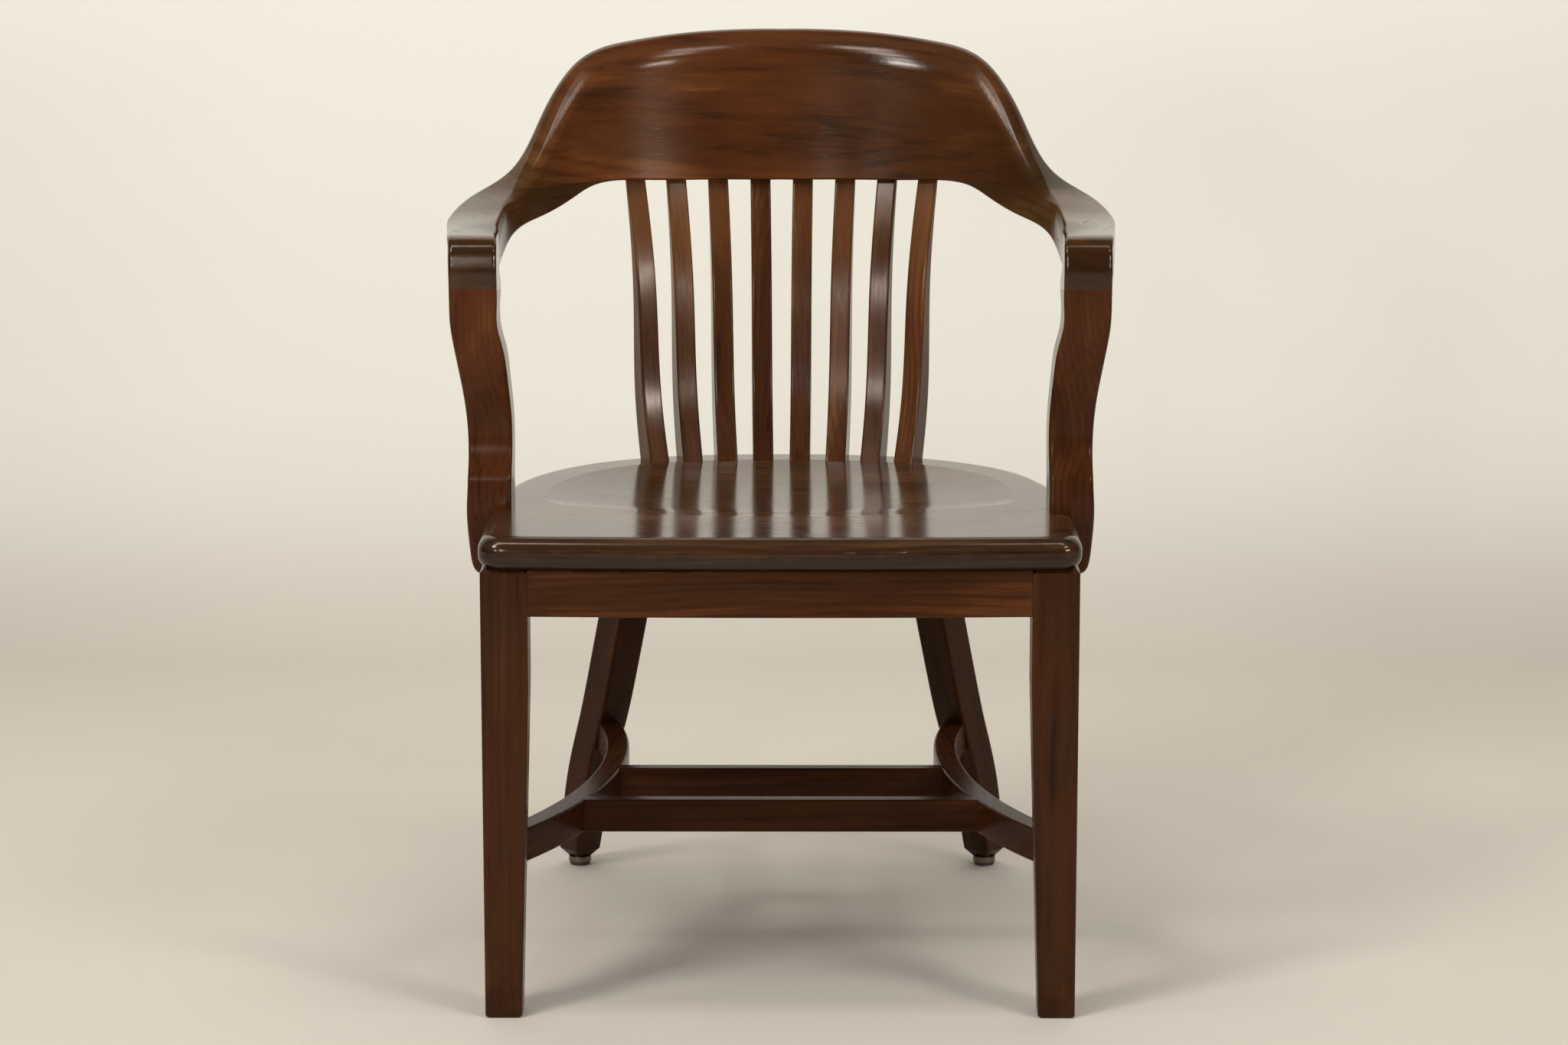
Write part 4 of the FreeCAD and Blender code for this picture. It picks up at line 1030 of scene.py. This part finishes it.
@dataclass
class SeatFrame:
    """Legs, rails and stretchers."""

    leg: Walnut = Walnut(
        deep=(0.018, 0.0062, 0.0022), body=(0.046, 0.0145, 0.0042),
        bright=(0.092, 0.031, 0.0088), gloss=Gloss.SATIN,
        figure=0.65, rings=0.10, warmth=0.35, ripple=0.25, lacquer=0.05, refraction=1.25,
        stains_and_painted_light=(
            StainAndPaintedLight(TowardFloor(top=0.10)),
            StainAndPaintedLight(Beyond(Direction.UP, start=0.32, full=0.40, strength=0.8), (0.74, 0.80, 0.88)),
        ),
    )
    # Painted shade: the rear legs are a darker copy of the front legs' timber; their lacquer is
    # also thinner.
    rear_leg: Walnut = replace(leg, lacquer=0.02, refraction=1.18).shaded(0.85)
    rail: Walnut = Walnut(
        deep=(0.020, 0.0065, 0.0020), body=(0.048, 0.0145, 0.0038),
        bright=(0.110, 0.034, 0.0085), gloss=Gloss.SATIN,
        figure=0.8, rings=0.10, warmth=0.6, ripple=0.25, lacquer=0.05, refraction=1.25,
    )
    stretcher: Walnut = Walnut(
        deep=(0.015, 0.0050, 0.0018), body=(0.034, 0.0108, 0.0032),
        bright=(0.072, 0.0235, 0.0068), gloss=Gloss.SATIN,
        figure=0.7, rings=0.10, warmth=0.35, ripple=0.25, lacquer=0.02, refraction=1.16,
    )
    rear_lean: tuple[float, float] = (0.184, -0.382)

    def dress_legs(self) -> None:
        """Dresses the legs, with the grain along each."""
        pairs = {"front": (0.0, 0.0, self.leg), "rear": (*self.rear_lean, self.rear_leg)}
        for pair, (across, back, wood) in pairs.items():
            for side, hand in HANDS.items():
                node = "%s_leg_%s" % (pair, side)
                along, heart = (across * hand, back, 1.0), (0.07 * hand, 0.05)
                run = GrainRun(middle(node), along, heart, 0.6 + hand * 0.4)
                dress(node, wood.material("walnut_" + node, run))

    @staticmethod
    def dress_runs(
        wood: Walnut, heart: tuple[float, float], runs: dict[str, tuple[Triple, float]]
    ) -> None:
        """Dresses nodes of one timber.

        Args:
            wood: Their timber.
            heart: Where its heart lies beside the grain's line.
            runs: Line of the grain and shift of the timber, by node.
        """
        for node, (along, shift) in runs.items():
            run = GrainRun(middle(node), along, heart, shift)
            dress(node, wood.material("walnut_" + node, run))

    def dress_rails(self) -> None:
        """Dresses the rails, with the grain along each."""
        self.dress_runs(self.rail, (-0.05, 0.04), {
            "front_rail": ((1.0, 0.0, 0.01), 0.2),
            "rear_rail": ((1.0, 0.0, 0.0), 1.1),
            "side_rail_left": ((0.25, 1.0, 0.0), 2.3),
            "side_rail_right": ((-0.25, 1.0, 0.0), 3.1),
        })

    def dress_stretchers(self) -> None:
        """Dresses the stretchers, with the grain along each."""
        self.dress_runs(self.stretcher, (0.04, -0.06), {
            "side_stretcher_left": ((0.12, 1.0, 0.0), 0.5),
            "side_stretcher_right": ((-0.12, 1.0, 0.0), 1.6),
            "cross_stretcher_front": ((1.0, 0.0, 0.0), 2.4),
            "cross_stretcher_rear": ((1.0, 0.0, 0.0), 3.7),
        })


@dataclass
class Fixings:
    """Dowels, corner blocks, screws and the glides."""

    hardwood: BareHardwood = BareHardwood()
    screw: Steel = Steel((0.42, 0.40, 0.37), (0.10, 0.05, 0.025), 0.38)
    glide: Steel = Steel((0.20, 0.16, 0.11), (0.05, 0.03, 0.018), 0.42)
    rubber: HardRubber = HardRubber()
    hardwood_lines: dict[str, Triple] = field(default_factory=lambda: {
        "seat_board_dowels": (0.0, 1.0, 0.0),
        "rail_dowels": (0.0, 1.0, 0.0),
        "arm_post_dowels": (0.0, 0.0, 1.0),
        "crest_dowels": (0.0, 0.0, 1.0),
        "corner_blocks": (1.0, 0.0, 0.0),
    })

    def dress_hardwood(self) -> None:
        """Dresses the dowels and corner blocks."""
        for node, along in self.hardwood_lines.items():
            run = GrainRun(middle(node), along)
            dress(node, self.hardwood.material("hardwood_" + node, run))

    def dress_metal(self) -> None:
        """Dresses the screws, cups and nails."""
        steel = self.screw.material("screw_steel")
        for node in ("corner_block_screws", "seat_screws", "post_screws"):
            dress(node, steel)
        plated = self.glide.material("glide_metal")
        for node in ("rear_glide_cups", "rear_glide_nails"):
            dress(node, plated)

    def dress_cushions(self) -> None:
        """Dresses the cushions of the glides."""
        dress("rear_glide_cushions", self.rubber.material("glide_cushion"))


@dataclass(frozen=True)
class Lamp:
    """An oblong soft lamp: its place, aim and size in metres and its power in watts."""

    name: str
    place: Triple
    aim: Triple
    size: tuple[float, float]
    power: float
    mirrored: bool = True
    colour: Triple = (1.0, 0.97, 0.93)

    def hang(self) -> None:
        """Adds the lamp to the scene, where only its light is seen."""
        light = bpy.data.lights.new(self.name, "AREA")
        light.shape = "RECTANGLE"
        light.size, light.size_y = self.size
        light.energy = self.power
        light.color = self.colour
        lamp = bpy.data.objects.new(self.name, light)
        lamp.location = self.place
        lamp.visible_camera = False
        lamp.visible_glossy = self.mirrored
        aim = Vector(self.aim) - Vector(self.place)
        lamp.rotation_euler = aim.to_track_quat("-Z", "Y").to_euler()
        bpy.context.scene.collection.objects.link(lamp)


@dataclass
class Studio:
    """Floor, wall, lamps and the world's light."""

    half_width: float = 4.5
    front: float = -5.0
    wall: float = 1.5
    cove: float = 0.25
    height: float = 4.0
    cove_steps: int = 12
    floor_colour: Triple = (0.56, 0.52, 0.46)
    wall_colour: Triple = (0.82, 0.81, 0.75)
    paint_change: float = 0.30
    paint_roughness: float = 0.85
    world_colour: Triple = (0.90, 0.88, 0.84)
    world_light: float = 0.08
    world_shown: float = 0.75
    lamps: tuple[Lamp, ...] = (
        Lamp("key_lamp", (-2.2, -2.25, 2.55), (0.0, 0.0, 0.6), (0.8, 0.5), 36.0),
        Lamp("second_lamp", (2.2, -2.25, 2.6), (0.0, 0.0, 0.6), (0.7, 0.45), 15.0),
        Lamp("mid_left_lamp", (-1.85, -1.95, 3.0), (0.0, 0.0, 0.7), (0.7, 0.4), 13.0),
        Lamp("high_left_lamp", (-1.3, -1.6, 3.3), (0.0, 0.0, 0.7), (0.7, 0.35), 10.0),
        Lamp("over_left_lamp", (-0.78, -1.25, 3.3), (0.0, 0.0, 0.7), (0.7, 0.30), 8.0),
        Lamp("high_right_lamp", (1.3, -1.6, 3.3), (0.0, 0.0, 0.7), (0.7, 0.35), 6.0),
        Lamp("over_right_lamp", (0.78, -1.25, 3.3), (0.0, 0.0, 0.7), (0.7, 0.30), 5.0),
        Lamp("near_lamp", (-0.82, -3.25, 1.12), (0.0, 0.0, 0.6), (0.26, 0.36), 10.0),
        Lamp("low_left_lamp", (-1.8, -2.88, 1.08), (0.0, 0.0, 0.6), (0.5, 0.3), 10.0),
        Lamp("low_right_lamp", (2.42, -2.35, 1.08), (0.0, 0.0, 0.6), (0.95, 0.26), 25.0),
        Lamp("top_lamp", (0.0, 0.1, 3.2), (0.0, 0.3, 0.0), (3.0, 1.6), 24.0, mirrored=False),
        Lamp("wall_lamp", (0.0, -0.6, 3.3), (0.0, 1.5, 0.9), (3.6, 0.5), 35.0, mirrored=False),
    )

    def profile(self) -> list[tuple[float, float]]:
        """Section of the backdrop through the floor, the cove and the wall.

        Returns:
            Depths and heights of its points, from the front to the top.
        """
        points = [(self.front, 0.0)]
        for step in range(self.cove_steps + 1):
            angle = math.pi / 2 * step / self.cove_steps
            depth = self.wall - self.cove + self.cove * math.sin(angle)
            points.append((depth, self.cove - self.cove * math.cos(angle)))
        return points + [(self.wall, self.height)]

    def build_backdrop(self) -> None:
        """Builds the floor and wall in one sheet with a cove between them."""
        mesh = bpy.data.meshes.new("backdrop")
        sheet = bmesh.new()
        rows = [
            [sheet.verts.new((x, y, z)) for x in (-self.half_width, self.half_width)]
            for y, z in self.profile()
        ]
        for low, high in zip(rows, rows[1:]):
            sheet.faces.new((low[0], low[1], high[1], high[0])).smooth = True
        sheet.to_mesh(mesh)
        sheet.free()
        backdrop = bpy.data.objects.new("backdrop", mesh)
        bpy.context.scene.collection.objects.link(backdrop)
        mesh.materials.append(self.paint())

    def paint(self) -> bpy.types.Material:
        """Matt paint, a little darker on the floor, on a sheet that is clear from its back.

        Returns:
            The material of the backdrop.
        """
        graph = Graph.material("backdrop_paint")
        rise = graph.parts(graph.object_place())[2].step(0.0, self.paint_change)
        matt = graph.principled({
            "Base Color": graph.mix(rise, self.floor_colour, self.wall_colour),
            "Roughness": self.paint_roughness,
        })
        clear = graph.output("ShaderNodeBsdfTransparent")
        behind = graph.output("ShaderNodeNewGeometry", "Backfacing")
        return graph.end(graph.output(
            "ShaderNodeMixShader", 0, None, {0: behind, 1: matt, 2: clear}
        ))

    def hang_lamps(self) -> None:
        """Hangs the lamps."""
        for lamp in self.lamps:
            lamp.hang()

    def light_world(self) -> None:
        """Sets the even light from all round, and what the camera sees past the backdrop."""
        world = bpy.data.worlds.new("studio_world")
        bpy.context.scene.world = world
        graph = Graph(world)
        shown = graph.output("ShaderNodeLightPath", "Is Camera Ray")
        background = graph.output("ShaderNodeBackground", 0, None, {
            "Color": (*self.world_colour, 1.0),
            "Strength": shown * (self.world_shown - self.world_light) + self.world_light,
        })
        graph.node("ShaderNodeOutputWorld", None, {"Surface": background})


@dataclass
class View:
    """The photograph's view: the camera's place, its turn in degrees and its lens."""

    place: Triple = (0.014, -3.88657, 1.1178)
    turn: Triple = (79.656, 0.0, 0.164)
    lens: float = 94.85
    sensor_width: float = 36.0

    def set_camera(self) -> None:
        """Places the camera and makes it the scene's."""
        camera = bpy.data.cameras.new("view")
        camera.lens = self.lens
        camera.sensor_width = self.sensor_width
        eye = bpy.data.objects.new("view", camera)
        eye.location = self.place
        eye.rotation_euler = tuple(math.radians(angle) for angle in self.turn)
        bpy.context.scene.collection.objects.link(eye)
        bpy.context.scene.camera = eye

    @staticmethod
    def set_colours() -> None:
        """Shows colours as they are written."""
        bpy.context.scene.view_settings.view_transform = "Standard"


def main() -> None:
    """Dresses the chair, builds the studio and sets the view."""
    logging.basicConfig(level=logging.INFO, format="%(name)s: %(message)s")
    hoop, slats, seat = Hoop(), SlatRow(), Seat()
    seat_frame, fixings = SeatFrame(), Fixings()
    studio, view = Studio(), View()
    jobs: list[tuple[str, Callable[[], None]]] = [
        ("view", view.set_camera),
        ("colours", view.set_colours),
        ("crest rail", hoop.dress_crest),
        ("arms", hoop.dress_arms),
        ("arm posts", hoop.dress_posts),
        ("slats", slats.dress_slats),
        ("seat boards", seat.dress_boards),
        ("legs", seat_frame.dress_legs),
        ("rails", seat_frame.dress_rails),
        ("stretchers", seat_frame.dress_stretchers),
        ("dowels and corner blocks", fixings.dress_hardwood),
        ("screws and glide metal", fixings.dress_metal),
        ("glide cushions", fixings.dress_cushions),
        ("backdrop", studio.build_backdrop),
        ("lamps", studio.hang_lamps),
        ("world", studio.light_world),
    ]
    for name, job in jobs:
        job()
        log.info("%s ready", name)


if __name__ == "__main__":
    main()
